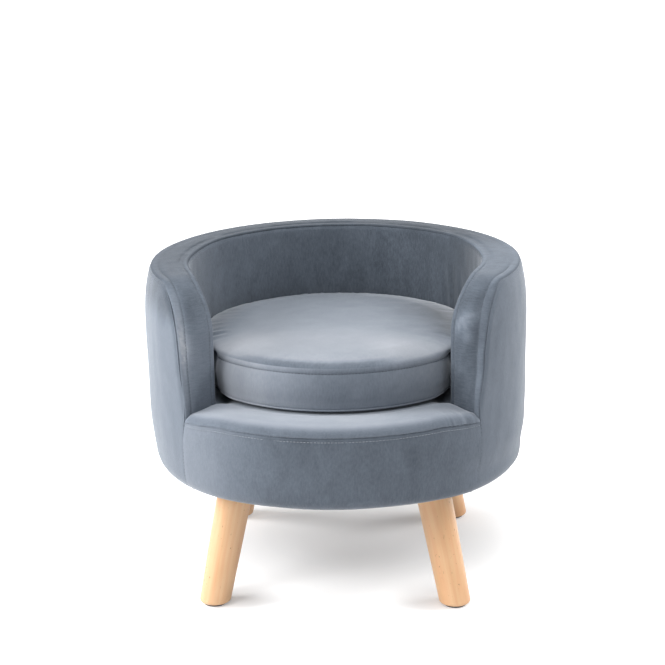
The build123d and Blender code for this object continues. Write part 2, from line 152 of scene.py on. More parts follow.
def colour_run(nodes, links, source, stops):
    """Colours that follow a value, each at its own stop."""
    ramp = nodes.new("ShaderNodeValToRGB")
    places = ramp.color_ramp.elements
    while len(places) < len(stops):
        places.new(0.5)
    for place, (at, colour) in zip(places, stops):
        place.position = at
        place.color = (*colour, 1)
    links.new(source, ramp.inputs["Fac"])
    return ramp.outputs["Color"]


def unevenness(nodes, links, source, scale, stretch, detail, wander=0.0):
    """Soft unevenness, drawn out along the ways that are squeezed."""
    drawn = tuned(nodes, "ShaderNodeMapping", Scale=stretch)
    links.new(source, drawn.inputs["Vector"])
    texture = tuned(nodes, "ShaderNodeTexNoise", Scale=scale, Detail=detail, Roughness=0.6, Distortion=wander)
    links.new(drawn.outputs["Vector"], texture.inputs["Vector"])
    return texture.outputs["Fac"]


def relief(nodes, links, height, strength, distance, under=None):
    """A raised surface, over another one where that is given."""
    bump = tuned(nodes, "ShaderNodeBump", Strength=strength, Distance=distance)
    links.new(height, bump.inputs["Height"])
    if under:
        links.new(under, bump.inputs["Normal"])
    return bump.outputs["Normal"]


def roughened(nodes, links, skin, source, low, high):
    """Gloss that changes with a value."""
    rough = tuned(nodes, "ShaderNodeMapRange", To_Min=low, To_Max=high)
    links.new(source, rough.inputs["Value"])
    links.new(rough.outputs["Result"], skin.inputs["Roughness"])


def feed(links, value, socket):
    """Gives a socket a colour, a number or what another node works out."""
    if isinstance(value, bpy.types.NodeSocket):
        links.new(value, socket)
    else:
        socket.default_value = (*value, 1) if isinstance(value, tuple) else value


def reckoned(nodes, links, way, *values):
    """A value worked out from others."""
    node = tuned(nodes, "ShaderNodeMath", operation=way)
    for value, socket in zip(values, node.inputs):
        feed(links, value, socket)
    return node.outputs[0]


def blended(nodes, links, way, amount, low, high):
    """Two colours laid over each other by an amount."""
    mix = tuned(nodes, "ShaderNodeMix", data_type="RGBA", blend_type=way)
    for value, socket in ((amount, mix.inputs[0]), (low, mix.inputs[6]), (high, mix.inputs[7])):
        feed(links, value, socket)
    return mix.outputs[2]


def velvet(name, sheen):
    """Short-pile blue-grey velvet. Its pile attribute sets the lightness from 0 to 1: partly brushed pile,
    partly light and shade painted onto the cloth, with soft hand marks, fine threads and a sheen."""
    material, nodes, links, skin = new_material(name)
    place = nodes.new("ShaderNodeTexCoord").outputs
    patches = unevenness(nodes, links, place["Object"], 9.0, (1, 1, 0.8), 3.0, 0.6)
    marks = unevenness(nodes, links, place["Object"], 62.0, (1, 1, 0.45), 4.0, 0.5)
    threads = unevenness(nodes, links, place["UV"], 470.0, (1, 0.32, 1), 3.0)
    pile = unevenness(nodes, links, place["UV"], 1500.0, (0.6, 1, 1), 2.0)
    # The pile attribute holds brushed pile together with painted light and shade.
    nap_and_shade = tuned(nodes, "ShaderNodeAttribute", attribute_name="nap_and_shade")
    height = nap_and_shade.outputs["Fac"]
    for texture, amount in ((patches, 0.10), (marks, 0.13), (threads, 0.15), (pile, 0.14)):
        centred = reckoned(nodes, links, "SUBTRACT", texture, 0.5)
        height = reckoned(nodes, links, "MULTIPLY_ADD", centred, amount, height)
    tone = colour_run(nodes, links, height, [
        (0.0, (0.020, 0.025, 0.031)), (0.15, (0.062, 0.075, 0.094)), (0.3, (0.135, 0.160, 0.196)),
        (0.5, (0.232, 0.260, 0.304)), (0.7, (0.345, 0.368, 0.410)), (1.0, (0.52, 0.54, 0.58))])
    links.new(tone, skin.inputs["Base Color"])
    roughened(nodes, links, skin, marks, 0.78, 0.96)
    skin.inputs["Specular IOR Level"].default_value = 0.2
    skin.inputs["Sheen Weight"].default_value = sheen
    skin.inputs["Sheen Roughness"].default_value = 0.36
    skin.inputs["Sheen Tint"].default_value = (0.84, 0.88, 0.94, 1)
    fuzz = relief(nodes, links, pile, 0.35, 0.0004)
    links.new(relief(nodes, links, threads, 0.18, 0.0005, fuzz), skin.inputs["Normal"])
    return material


def thread(name, low, high):
    """Twisted sewing thread."""
    material, nodes, links, skin = new_material(name)
    place = nodes.new("ShaderNodeTexCoord")
    twist = tuned(nodes, "ShaderNodeTexNoise", Scale=2200.0, Detail=1.0)
    links.new(place.outputs["Object"], twist.inputs["Vector"])
    tone = colour_run(nodes, links, twist.outputs["Fac"], [(0.35, low), (0.65, high)])
    links.new(tone, skin.inputs["Base Color"])
    skin.inputs["Roughness"].default_value = 0.62
    links.new(relief(nodes, links, twist.outputs["Fac"], 0.4, 0.0002), skin.inputs["Normal"])
    return material


def turned_wood(name, foot, top, seed, pale):
    """Pale lacquered hardwood with its grain along a leg: warm streaks, soft rings and dark pores."""
    material, nodes, links, skin = new_material(name)
    place = nodes.new("ShaderNodeTexCoord")
    lie = (Vector(top) - Vector(foot)).rotation_difference(Vector((0, 0, 1)))
    begin = Vector((seed * 0.31, seed * 0.17, seed * 0.23)) - lie @ Vector(foot)
    along = tuned(nodes, "ShaderNodeMapping", Rotation=lie.to_euler(), Location=begin)
    links.new(place.outputs["Object"], along.inputs["Vector"])
    grain = along.outputs["Vector"]
    streaks = unevenness(nodes, links, grain, 48.0, (1, 1, 0.07), 4.0, 0.4)
    fine = unevenness(nodes, links, grain, 420.0, (1, 1, 0.035), 3.0)
    blush = unevenness(nodes, links, grain, 13.0, (1, 1, 0.35), 2.0, 0.8)
    pores = unevenness(nodes, links, grain, 560.0, (1, 1, 0.38), 1.0)
    rings_lie = tuned(nodes, "ShaderNodeMapping", Scale=(1, 0.25, 0.10))
    links.new(grain, rings_lie.inputs["Vector"])
    rings = tuned(nodes, "ShaderNodeTexWave", Scale=30.0, Distortion=8.0, Detail=3.0, Detail_Scale=1.2)
    links.new(rings_lie.outputs["Vector"], rings.inputs["Vector"])
    tone = colour_run(nodes, links, streaks, [
        (0.25, (0.66, 0.36, 0.170)), (0.5, (0.80, 0.49, 0.265)), (0.75, (0.88, 0.60, 0.360))])
    warm = colour_run(nodes, links, blush, [(0.40, (0.86, 0.58, 0.345)), (0.62, (0.74, 0.40, 0.190))])
    colour = blended(nodes, links, "MIX", 0.42, tone, warm)
    ring_tone = colour_run(nodes, links, rings.outputs["Fac"], [
        (0.0, (0.44, 0.43, 0.41)), (1.0, (0.56, 0.56, 0.56))])
    colour = blended(nodes, links, "OVERLAY", 0.25, colour, ring_tone)
    hair = colour_run(nodes, links, fine, [(0.30, (0.40, 0.40, 0.40)), (0.70, (0.60, 0.60, 0.60))])
    colour = blended(nodes, links, "OVERLAY", 0.28, colour, hair)
    dots = colour_run(nodes, links, pores, [(0.235, (1, 1, 1)), (0.275, (0, 0, 0))])
    colour = blended(nodes, links, "MIX", dots, colour, (0.38, 0.20, 0.095))
    colour = blended(nodes, links, "MULTIPLY", 1.0, colour, (pale, pale * 0.97, pale * 0.96))
    links.new(colour, skin.inputs["Base Color"])
    roughened(nodes, links, skin, fine, 0.34, 0.52)
    skin.inputs["Coat Weight"].default_value = 0.15
    skin.inputs["Coat Roughness"].default_value = 0.3
    links.new(relief(nodes, links, fine, 0.10, 0.0004), skin.inputs["Normal"])
    return material


def speckled(name, low, high, scale, rough, bump, metal=0.0, stretch=(1, 1, 1)):
    """A plain finish with the fine unevenness of its stuff."""
    material, nodes, links, skin = new_material(name)
    place = nodes.new("ShaderNodeTexCoord")
    fleck = unevenness(nodes, links, place.outputs["Object"], scale, stretch, 4.0)
    links.new(colour_run(nodes, links, fleck, [(0.3, low), (0.7, high)]), skin.inputs["Base Color"])
    roughened(nodes, links, skin, fleck, rough - 0.08, rough + 0.08)
    skin.inputs["Metallic"].default_value = metal
    links.new(relief(nodes, links, fleck, bump, 0.0005), skin.inputs["Normal"])
    return material


def woven(name, low, high, pitch):
    """Plain-woven tape: threads over and under each other, one pitch apart."""
    material, nodes, links, skin = new_material(name)
    place = nodes.new("ShaderNodeTexCoord")
    threads = []
    for way in ("X", "Y"):
        wave = tuned(nodes, "ShaderNodeTexWave", bands_direction=way, Scale=pi / (10 * pitch),
                     Distortion=0.6, Detail=1.0)
        links.new(place.outputs["UV"], wave.inputs["Vector"])
        threads.append(wave.outputs["Fac"])
    crossed = reckoned(nodes, links, "MULTIPLY", *threads)
    links.new(colour_run(nodes, links, crossed, [(0.1, low), (0.6, high)]), skin.inputs["Base Color"])
    skin.inputs["Roughness"].default_value = 0.8
    skin.inputs["Sheen Weight"].default_value = 0.15
    links.new(relief(nodes, links, crossed, 0.7, 0.0003), skin.inputs["Normal"])
    return material


velvet_cloth = velvet("blue_grey_velvet", 0.80)
band_velvet = velvet("blue_grey_velvet_lying", 0.25)
stitch_thread = thread("sewing_thread", (0.060, 0.074, 0.094), (0.115, 0.138, 0.168))
pale_thread = thread("pale_sewing_thread", (0.20, 0.23, 0.27), (0.34, 0.37, 0.41))
birch_ply = speckled("birch_ply", (0.52, 0.36, 0.20), (0.68, 0.50, 0.31), 90, 0.7, 0.2,
                     stretch=(0.12, 1, 6))
pine = speckled("sawn_pine", (0.55, 0.36, 0.17), (0.74, 0.53, 0.30), 120, 0.75, 0.25,
                stretch=(1, 1, 0.08))
pressed_board = speckled("pressed_board", (0.10, 0.055, 0.028), (0.20, 0.115, 0.06), 700, 0.65, 0.3)
dust_black = speckled("spun_black_cloth", (0.010, 0.010, 0.012), (0.030, 0.030, 0.034), 1100, 0.85, 0.6)
zinc = speckled("zinc_plate", (0.50, 0.50, 0.49), (0.70, 0.70, 0.69), 500, 0.34, 0.12, metal=1.0)
glide_black = speckled("black_glide_plastic", (0.010, 0.009, 0.009), (0.022, 0.020, 0.019), 900, 0.48, 0.2)
zip_weave = woven("zip_tape_weave", (0.060, 0.078, 0.104), (0.150, 0.176, 0.212), 0.0009)
zip_nylon = speckled("zip_nylon", (0.085, 0.105, 0.135), (0.125, 0.150, 0.185), 1400, 0.42, 0.2)
zip_paint = speckled("zip_slider_paint", (0.20, 0.22, 0.25), (0.28, 0.30, 0.33), 800, 0.38, 0.15, metal=0.6)

finishes = {
    birch_ply: ("base_board", "seat_board", "arm_profile_left", "arm_profile_right", "top_rail"),
    pine: ("drum_blocks", "wall_posts"),
    pressed_board: ("outer_skin", "inner_skin", "front_skin"),
    zinc: ("frame_screws", "staples", "hanger_bolts", "tee_nuts", "glide_nails"),
    glide_black: ("foot_glides",),
    zip_nylon: ("zip_stops",),
    zip_paint: ("zip_slider", "zip_pull"),
}
leg_foot = 0.15606
leg_head = 0.12445
leg_length = 0.1583
legs = (("leg_front_left", -1, -1, 0.98), ("leg_front_right", 1, -1, 1.06),
        ("leg_rear_left", -1, 1, 1.0), ("leg_rear_right", 1, 1, 1.04))
for seed, (node, x, y, pale) in enumerate(legs, 1):
    finishes[turned_wood(f"{node}_wood", (x * leg_foot, y * leg_foot, 0),
                         (x * leg_head, y * leg_head, leg_length), seed, pale)] = (node,)
for material, names in finishes.items():
    for name in names:
        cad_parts[name].data.materials.clear()
        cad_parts[name].data.materials.append(material)


# Shapes of the padding under the cloth
def rise(value, low, high):
    """Goes softly from 0 to 1 between two values."""
    part = max(0.0, min(1.0, (value - low) / (high - low)))
    return part * part * (3 - 2 * part)


def side_radius(level):
    """The outside's radius at one level: round base, leaning drum, upright wall and leaning shoulder."""
    if level < base_level - 0.0002:
        return base_middle + sqrt(max(0.0, base_bend ** 2 - (level - base_level) ** 2))
    if level < drum_top:
        return outside - drum_bend + sqrt(drum_bend ** 2 - (drum_top - level) ** 2)
    if level > shoulder_foot:
        return outside - shoulder_bend + sqrt(shoulder_bend ** 2 - (level - shoulder_foot) ** 2)
    return outside


def around(turn, radius, level):
    """A place round the bed: the turn is counted from the middle of the back towards the right. The left
    arm was upholstered to reach round a little further than the right one, both outer seams lean back as
    they rise, and the inside is stuffed plumper at the sides than at the back."""
    turn = (turn + pi) % (2 * pi) - pi
    far = abs(turn)
    lean = rise(level, deck_level, 0.325) + 0.8 * rise(level, 0.325, 0.380)
    lean *= rise(level, 0.4225, 0.411) * rise(far, radians(96), radians(128)) * rise(radius, 0.225, 0.2485)
    if turn < 0:
        turn -= left_reach * rise(far, radians(80), radians(128)) * rise(pi - far, 0, radians(44))
        turn += left_seam_lean * lean
    else:
        turn -= right_seam_lean * lean
    plump = rise(far, radians(46), radians(82)) * rise(far, radians(130), radians(106))
    radius -= side_plump * plump * rise(radius, 0.186, 0.197) * rise(radius, 0.242, 0.206)
    return Vector((radius * sin(turn), radius * cos(turn), level))


def uneven(x, y, z):
    """Soft unevenness of padding, from -1 to 1."""
    return noise.noise(Vector((x, y, z)))


def new_cloth(name, across, up):
    """A flat grid of cloth with so many squares each way, ready to be laid over the padding."""
    nothing_selected()
    bpy.ops.mesh.primitive_grid_add(x_subdivisions=across, y_subdivisions=up, size=1)
    return named(bpy.context.active_object, name)


plain_nap = 0.30


def paint_pile_and_shade(piece, heights):
    """Sets the lightness of a piece's cloth at each point, from 0 to 1: brushed pile together with
    light and shade painted onto it.
    """
    marks = piece.data.attributes.new("nap_and_shade", "FLOAT", "POINT")
    marks.data.foreach_set("value", [max(0.0, min(1.0, height)) for height in heights])


def lay(piece, spot, width, height, nap_and_shade=None):
    """Lays the cloth over the padding. Spot gives the place of each point of the flat cloth, counted from
    0 to 1 both ways; the last argument gives how much lighter or darker than plain the cloth is there,
    by brushed pile and by painted light and shade."""
    mesh = piece.data
    flat = [(v.co.x + 0.5, v.co.y + 0.5) for v in mesh.vertices]
    for vertex, (u, v) in zip(mesh.vertices, flat):
        vertex.co = spot(u, v)
    for loop in mesh.uv_layers[0].data:
        loop.uv = (loop.uv[0] * width, loop.uv[1] * height)
    paint_pile_and_shade(piece, [plain_nap + (nap_and_shade(u, v) if nap_and_shade else 0.0) for u, v in flat])
    only(piece)
    bpy.ops.object.shade_smooth()


def backed(piece, thickness):
    """Gives the cloth the upper layer of its padding."""
    only(piece)
    layer = piece.modifiers.new("padding", "SOLIDIFY")
    layer.thickness = thickness
    layer.offset = -1
    apply_all(piece)


# Panels of the wall, which end on the rounded corner of each arm
def turn_at(gap, radius):
    """The turn of a place that lies so far behind the arm's end."""
    return arm_turn - asin(gap / radius)


def panel_top(gap):
    """The level of the seam at a distance behind the arm's end."""
    if gap >= arm_round:
        return rim_level - seam_depth
    bend = arm_round - seam_depth
    return rim_level - arm_round + sqrt(max(0.0, bend ** 2 - (arm_round - gap) ** 2))


def seam_distance(gap, level):
    """How far a spot of a panel lies from the seam along its ends, corners and top."""
    if level < rim_level - arm_round:
        return gap - seam_depth if gap < arm_round else rim_level - level
    if gap < arm_round and level > rim_level - arm_round:
        return arm_round - seam_depth - hypot(arm_round - gap, level - rim_level + arm_round)
    return min(gap - seam_depth, rim_level - seam_depth - level)


corner_columns = 26
middle_columns = 190
end_tuck = 2
panel_columns = 2 * (corner_columns + end_tuck) + middle_columns


def panel_column(step, radius):
    """The turn of a column of the panel, its distance behind the arm's end and how far it is tucked in."""
    side = 1 if step <= panel_columns / 2 else -1
    count = min(step, panel_columns - step)
    if count <= end_tuck + corner_columns:
        part = max(0, count - end_tuck) / corner_columns
        gap = arm_round - (arm_round - seam_depth) * cos(part * pi / 2)
        return side * turn_at(gap, radius), gap, max(0, end_tuck - count)
    limit = turn_at(arm_round, radius)
    part = (step - end_tuck - corner_columns) / middle_columns
    return limit * (1 - 2 * part), arm_round, 0


def pucker(along, distance, reach=0.007):
    """The small ripple that stitching draws along a seam."""
    wave = uneven(along * 95, 3.1, 0.7) + 0.6 * uneven(along * 210, 8.2, 1.9)
    return wave * exp(-max(0.0, distance) / reach)


hem_end = 0.2155
outside_levels = ([(hem, underside), (hem_end, underside)]
                  + [(base_middle + base_bend * sin(a * pi / 14), base_level - base_bend * cos(a * pi / 14))
                     for a in range(7)])
wall_start = 0.290
drum_rows = 18
wall_rows = 30
roll_rows = 4
tuck_rows = 2


def panel_row(row, rows, foot, top):
    """The level of a row of a panel and how far it is drawn in: it climbs from its foot to the lip, rolls
    over the lip up to the seam and tucks under it."""
    if row <= rows:
        return foot + (top - lip_height - foot) * row / rows, 0.0
    if row <= rows + roll_rows:
        return top - lip_height * (1 - (row - rows) / roll_rows), 0.0
    under = row - rows - roll_rows
    return top - tuck_drop * under, tuck_draw * under


def seam_lean(level, side):
    """The drum's side seams run down while the drum narrows: the left one drifts back, the right one bows
    a little."""
    down = max(0.0, min(1.0, (drum_top - level) / (drum_top - base_level)))
    return 0.046 * down ** 0.8 if side < 0 else 0.044 * down * (1 - down)


def filled(turn, radius, level):
    """The stuffing is packed a little fuller round the base's edge, most at the right, and in the wall."""
    right, left = rise(sin(turn), 0.15, 0.75), rise(-sin(turn), 0.15, 0.75)
    radius += (0.0010 * right + 0.0016 * left) * rise(level, 0.270, 0.330) * rise(level, 0.420, 0.385)
    radius += 0.0010 * right * exp(-((level - 0.206) / 0.014) ** 2)
    if level < base_level:
        dip = asin(min(1.0, (base_level - level) / base_bend))
        more = 0.0036 * (1 - right) * exp(-((dip - 1.01) / 0.42) ** 2)
        more += 0.0054 * right * exp(-((dip - 0.86) / 0.42) ** 2)
        more *= rise(acos(-cos(turn)), radians(12), radians(50))
        radius += more * cos(dip)
        level -= more * sin(dip)
    return radius, level


def outside_spot(column, row):
    """A place on the outside of the drum and the wall, from the hem below the base up to the rim's seam."""
    turn, gap, tucked = panel_column(column, outer_line)
    drawn = 0.0
    if row < len(outside_levels):
        radius, level = outside_levels[row]
    else:
        row -= len(outside_levels)
        if row < drum_rows:
            level = base_level + (wall_start - base_level) * row / drum_rows
        else:
            level, drawn = panel_row(row - drum_rows, wall_rows, wall_start, panel_top(gap))
        radius = side_radius(level)
    distance = seam_distance(gap, level)
    drawn = max(drawn, tuck_draw * tucked)
    shown = rise(level, underside + 0.002, underside + 0.016)
    depth = 0.0003 + 0.0014 * rise(level, drum_top, 0.275)
    radius -= shown * (drawn + depth * exp(-(max(0.0, distance) / seam_width) ** 2))
    side = 1 if turn > 0 else -1
    turn -= side * seam_lean(level, side) * rise(gap, arm_round, seam_depth)
    if level > base_level - 0.01:
        along = turn * outside + level
        radius += 0.00028 * pucker(along, distance)
        fade = min(1.0, (level - base_level + 0.01) / 0.03) * min(1.0, max(0.0, distance) / 0.02)
        radius += 0.0007 * fade * uneven(turn * 5.0, level * 11, 2.0)
        radius += 0.00035 * fade * uneven(turn * 14.0, level * 30, 6.0)
    return around(turn, *filled(turn, radius, level))


def outside_light_and_shade(turn, place):
    """Painted light on the outside: a little lighter than plain, least by the right arm. It is darker just
    below the rim at the front left.
    """
    side = rise(abs(turn), radians(125), radians(100))
    laid = 0.15 * rise(place.z, 0.360, 0.402) * rise(-place.x, 0.0, 0.20) * rise(-place.y, -0.14, 0.02)
    return (0.03 * side if turn > 0 else 0.03 - 0.01 * side) - laid


def make_outside_back():
    rows = len(outside_levels) + drum_rows + wall_rows + roll_rows + tuck_rows

    def spot(u, v):
        return outside_spot(round(u * panel_columns), round(v * rows))

    piece = new_cloth("outside_back", panel_columns, rows)
    lay(piece, spot, width=1.15, height=0.30, nap_and_shade=lambda u, v: outside_light_and_shade(
        panel_column(round(u * panel_columns), outer_line)[0], spot(u, v)))
    backed(piece, cover_padding)
    bpy.ops.object.shade_smooth_by_angle(angle=crisp_edge)
    return finished(piece, "bed", "velvet", velvet_cloth, "back_outside_cover", "back_outside_pad")


inner_rows = 40
inner_foot = 0.250


def inside_folds(turn, level):
    """The upright folds that gather low in the right of the back."""
    fold = 0.0
    for at, depth, top in ((22, 0.6, 0.362), (27, 1.0, 0.372), (33.5, 0.9, 0.368), (38, 0.6, 0.360),
                           (45, 0.9, 0.378), (50, 1.1, 0.384), (56, 0.7, 0.372)):
        lean = radians(at) - (level - 0.33) * 0.55
        across = (turn - lean) * inside / 0.0026
        fade = 1 / (1 + exp((level - top) / 0.006))
        fold += 0.0011 * depth * fade * (exp(-across ** 2) - 0.6 * exp(-(across - 1.9) ** 2))
    return fold


def inside_spot(column, row):
    """A place on the inside of the wall, from below the deck up to the rim's seam."""
    turn, gap, tucked = panel_column(column, inner_line)
    turn = -turn
    level, drawn = panel_row(row, inner_rows, inner_foot, panel_top(gap))
    distance = seam_distance(gap, level)
    drawn = max(drawn, tuck_draw * tucked)
    radius = inside + drawn + 0.0012 * exp(-(max(0.0, distance) / seam_width) ** 2)
    radius -= 0.00028 * pucker(turn * inside + level + 4, distance)
    fade = min(1.0, max(0.0, distance) / 0.02)
    radius -= 0.0008 * fade * uneven(turn * 4.0, level * 10, 12.0)
    radius -= 0.0004 * fade * uneven(turn * 13.0, level * 22, 16.0)
    radius -= inside_folds(turn, level)
    return around(turn, radius, level)


def inside_painted_shade(turn, height):
    """Painted shade inside the wall: darker than plain, more so on the right, a little less towards the
    arms, and deepest low behind the arms.
    """
    level = -0.10 - 0.06 * sin(max(-1.4, min(1.4, turn * 1.3)))
    level += 0.06 * rise(abs(turn), radians(85), radians(120))
    level -= 0.06 * rise(turn, radians(40), radians(75))
    return level - 0.5 * rise(height, 0.50, 0.28) * rise(abs(turn), radians(105), radians(122))


def make_inside_back():
    rows = inner_rows + roll_rows + tuck_rows
    piece = new_cloth("inside_back", panel_columns, rows)
    lay(piece, lambda u, v: inside_spot(round(u * panel_columns), round(v * rows)), width=0.92, height=0.17,
        nap_and_shade=lambda u, v: inside_painted_shade(-panel_column(round(u * panel_columns), inner_line)[0], v))
    backed(piece, cover_padding)
    return finished(piece, "bed", "velvet", velvet_cloth, "back_inside_cover", "back_inside_pad")


# Rim band: a strip over the top of the wall and down both arm ends
band_foot = 0.245
rim_run = (outside + inside) / 2 * arm_turn - arm_round
corner_run = arm_round * pi / 2
arm_run = rim_level - arm_round - band_foot
band_half = rim_run + corner_run + arm_run

# Across the band: from which edge, how far in, and how far proud of the padding, in millimetres
band_section = [
    ("out", 3.6, -4.6), ("out", 1.8, -2.4), ("out", 1.5, -1.2), ("out", 2.1, -0.2), ("out", 4.2, 0.25),
    ("out", 7.4, 0.25), ("out", 9.5, -0.15), ("out", 10.3, -0.75), ("out", 11.1, -0.15), ("out", 13.0, 0.45),
    ("out", 16.0, 0.75), ("mid", 0.40, 0.95), ("mid", 0.50, 1.05), ("mid", 0.60, 0.95), ("mid", 0.70, 0.75),
    ("in", 12.6, 0.60), ("in", 10.2, 0.40), ("in", 8.4, -0.15), ("in", 7.6, -0.70), ("in", 6.8, -0.15),
    ("in", 4.8, 0.20), ("in", 2.4, -0.1), ("in", 1.0, -1.2), ("in", 1.1, -2.4), ("in", 3.0, -4.6),
]
stitched_rows = (6, 7, 8, 17, 18, 19)
sewn_run = rim_run - 0.03
outer_stitch_in = 0.0103
inner_stitch_in = 0.0076


def band_place(run, edge, distance, proud):
    """A place on the band, at a run along it counted from the middle of the back."""
    side = 1 if run >= 0 else -1
    run = abs(run)
    if run < rim_run:
        level = rim_level + proud
        radius = band_radius(level, edge, distance)
        return around(side * turn_at(arm_round, radius) * run / rim_run, radius, level)
    if run < rim_run + corner_run:
        bend = (run - rim_run) / arm_round
        gap = arm_round - (arm_round + proud) * sin(bend)
        level = rim_level - arm_round + (arm_round + proud) * cos(bend)
    else:
        gap = -proud
        level = rim_level - arm_round - (run - rim_run - corner_run)
    radius = band_radius(level, edge, distance)
    return around(side * turn_at(gap, radius), radius, level)


def band_radius(level, edge, distance):
    outer = side_radius(min(level, rim_level))
    if edge == "out":
        return outer - distance
    if edge == "in":
        return inside + distance
    return outer + (inside - outer) * distance


def band_spot(u, row):
    """A place on the band, drawn in along its stitches and gathered at the left arm's outer edge."""
    run = band_half * (1 - 2 * u)
    edge, distance, proud = band_section[row]
    if row in stitched_rows:
        proud += (0.3 - proud) * rise(abs(run), sewn_run, sewn_run - 0.06)
    distance *= 1 if edge == "mid" else 0.001
    proud *= 0.001
    line = {"out": outer_stitch_in, "in": inner_stitch_in}.get(edge)
    near = abs(distance - line) if line else 1
    if proud > -0.002:
        proud += 0.00022 * pucker(run + (2 if edge == "out" else 7), near, 0.006)
        swell = 1 if edge == "mid" else 0.4
        proud += 0.0006 * swell * uneven(run * 16, row * 0.12, 9.0)
        proud += 0.0003 * swell * uneven(run * 55, row * 0.3, 4.0)
        if edge == "out" and run < 0:
            gather = exp(-((-run - rim_run - corner_run - 0.014) / 0.034) ** 2)
            gather *= exp(-((distance - 0.006) / 0.006) ** 2)
            proud += gather * (0.0005 + 0.0007 * uneven(run * 190, distance * 90, 2.0))
    return band_place(run, edge, distance, proud)


def band_light_and_shade(u, row):
    """Pale pressed pile with painted sheen on the front of the right arm, and painted highlights along the
    gathers of the left arm; lighter along the seams' edges; painted shade down the inner edge of the arm ends
    and a darker patch on the left arm's corner; elsewhere light and shade painted stretch by stretch: darker
    along the back, lighter towards the sides and down the arms.
    """
    run = band_half * (1 - 2 * u)
    marks_and_light = 0.0
    right = run - (rim_run + corner_run - 0.018)
    marks_and_light += 0.26 * exp(-(right / 0.015) ** 2 - ((row - 12.5 - right * 200) / 3.4) ** 2)
    marks_and_light += 0.16 * exp(-((right - 0.018) / 0.008) ** 2 - ((row - 11) / 1.5) ** 2)
    left = -run - (rim_run + corner_run + 0.018)
    marks_and_light += 0.36 * exp(-((left + 0.010) / 0.034) ** 2 - ((row - 4.2) / 2.0) ** 2)
    marks_and_light += 0.30 * exp(-((left + 0.006) / 0.022) ** 2 - ((row - 7.5) / 2.4) ** 2)
    marks_and_light *= 0.75 + 0.6 * uneven(run * 160, row * 0.9, 3.0)
    edge = exp(-((row - 4.5) / 1.2) ** 2) + exp(-((row - 20) / 1.2) ** 2)
    marks_and_light += 0.06 * edge * (0.6 + 0.5 * uneven(run * 60, row, 5.0))
    arm = rise(abs(run), rim_run - 0.02, rim_run + 0.06)
    marks_and_light -= 0.10 * rise(abs(run), rim_run + corner_run + 0.01, band_half - 0.02) * rise(row, 16, 20)
    side = rise(abs(run), 0.16, 0.32)
    marks_and_light -= 0.10 * exp(-((run + rim_run + 0.060) / 0.030) ** 2) * rise(row, 6, 10)
    if run > 0:
        return marks_and_light - 0.20 + 0.17 * side * (1 - arm) + (0.11 + 0.045 * rise(row, 9.5, 7.0)) * arm
    return marks_and_light - 0.20 + 0.05 * side * (1 - arm) + 0.22 * arm


def make_rim_band():
    columns = 440
    rows = len(band_section) - 1
    piece = new_cloth("rim_band", columns, rows)
    lay(piece, lambda u, v: band_spot(u, round(v * rows)), width=2 * band_half, height=0.055,
        nap_and_shade=lambda u, v: band_light_and_shade(u, round(v * rows)))
    backed(piece, cover_padding)
    return finished(piece, "bed", "velvet", band_velvet, "rim_cover", "rim_pad")


# Drum front and deck
mouth_turn = pi - arm_turn
roll_middle = outside - roll_bend


def front_section():
    """The drum's front from its hem to the deck's seam, as radius and level."""
    points = list(outside_levels)
    rows = 15
    points += [(side_radius(z), z) for z in
               [base_level + (drum_top - 0.006 - base_level) * i / rows for i in range(1, rows + 1)]]
    points += [(outside - 0.0004, drum_top - 0.0012), (outside - 0.0002, drum_top + 0.0012)]
    for level in (0.2545, 0.2563, 0.2573, 0.2579):
        points.append((roll_middle + sqrt(roll_bend ** 2 - (level - drum_top) ** 2), level))
    return points + [(0.2476, 0.2582), (0.2450, 0.2573)]


front_points = front_section()


def deck_drop(angle, radius):
    """The deck is stuffed high in the middle and drops to the outer corners by the arms."""
    distance = (mouth_turn - abs(angle)) * mouth_line
    return 0.0056 * rise(distance, 0.060, 0.0) * rise(radius, 0.192, 0.236)


def front_spot(u, row, columns):
    """A place on the drum's front, between its two side seams."""
    step = round(u * columns)
    tucked = max(0, end_tuck - min(step, columns - step))
    part = (min(max(step, end_tuck), columns - end_tuck) - end_tuck) / (columns - 2 * end_tuck)
    radius, level = front_points[row]
    edge = mouth_turn + seam_depth / outside
    left, right = edge + seam_lean(level, -1), edge + seam_lean(level, 1)
    angle = part * right - (1 - part) * left
    distance = outside * min(right - angle, angle + left)
    shown = rise(level, underside + 0.002, underside + 0.016)
    radius -= shown * (tuck_draw * tucked + 0.0003 * exp(-(distance / seam_width) ** 2))
    if level > base_level - 0.012:
        seam = abs(level - deck_stitch_level)
        radius -= 0.0004 * exp(-(seam / 0.0011) ** 2) * min(1.0, distance / 0.01)
        radius += 0.00025 * pucker(angle * outside, seam, 0.006)
        radius += 0.00025 * pucker(level + 3, distance)
        fade = min(1.0, distance / 0.02) * min(1.0, max(0.0, (level - base_level + 0.012) / 0.03))
        radius += 0.0008 * fade * uneven(angle * 5, level * 12, 31.0)
        radius += 0.0004 * fade * uneven(angle * 15, level * 32, 33.0)
    level -= deck_drop(angle, radius) * rise(level, 0.225, 0.256)
    return around(pi - angle, *filled(pi - angle, radius, level))


def front_painted_light(u):
    """Painted light on the drum's front: a little darker than plain in the middle, lighter towards the left
    and a little at the right end.
    """
    return -0.045 + 0.15 * rise(u, 0.42, 0.02) + 0.02 * rise(u, 0.7, 1.0)


def make_drum_front():
    columns = 100
    rows = len(front_points) - 1
    piece = new_cloth("drum_front", columns, rows)
    lay(piece, lambda u, v: front_spot(u, round(v * rows), columns), width=0.42, height=0.16,
        nap_and_shade=lambda u, v: front_painted_light(u))
    backed(piece, cover_padding)
    bpy.ops.object.shade_smooth_by_angle(angle=crisp_edge)
    return finished(piece, "bed", "velvet", velvet_cloth, "front_cover", "front_pad")


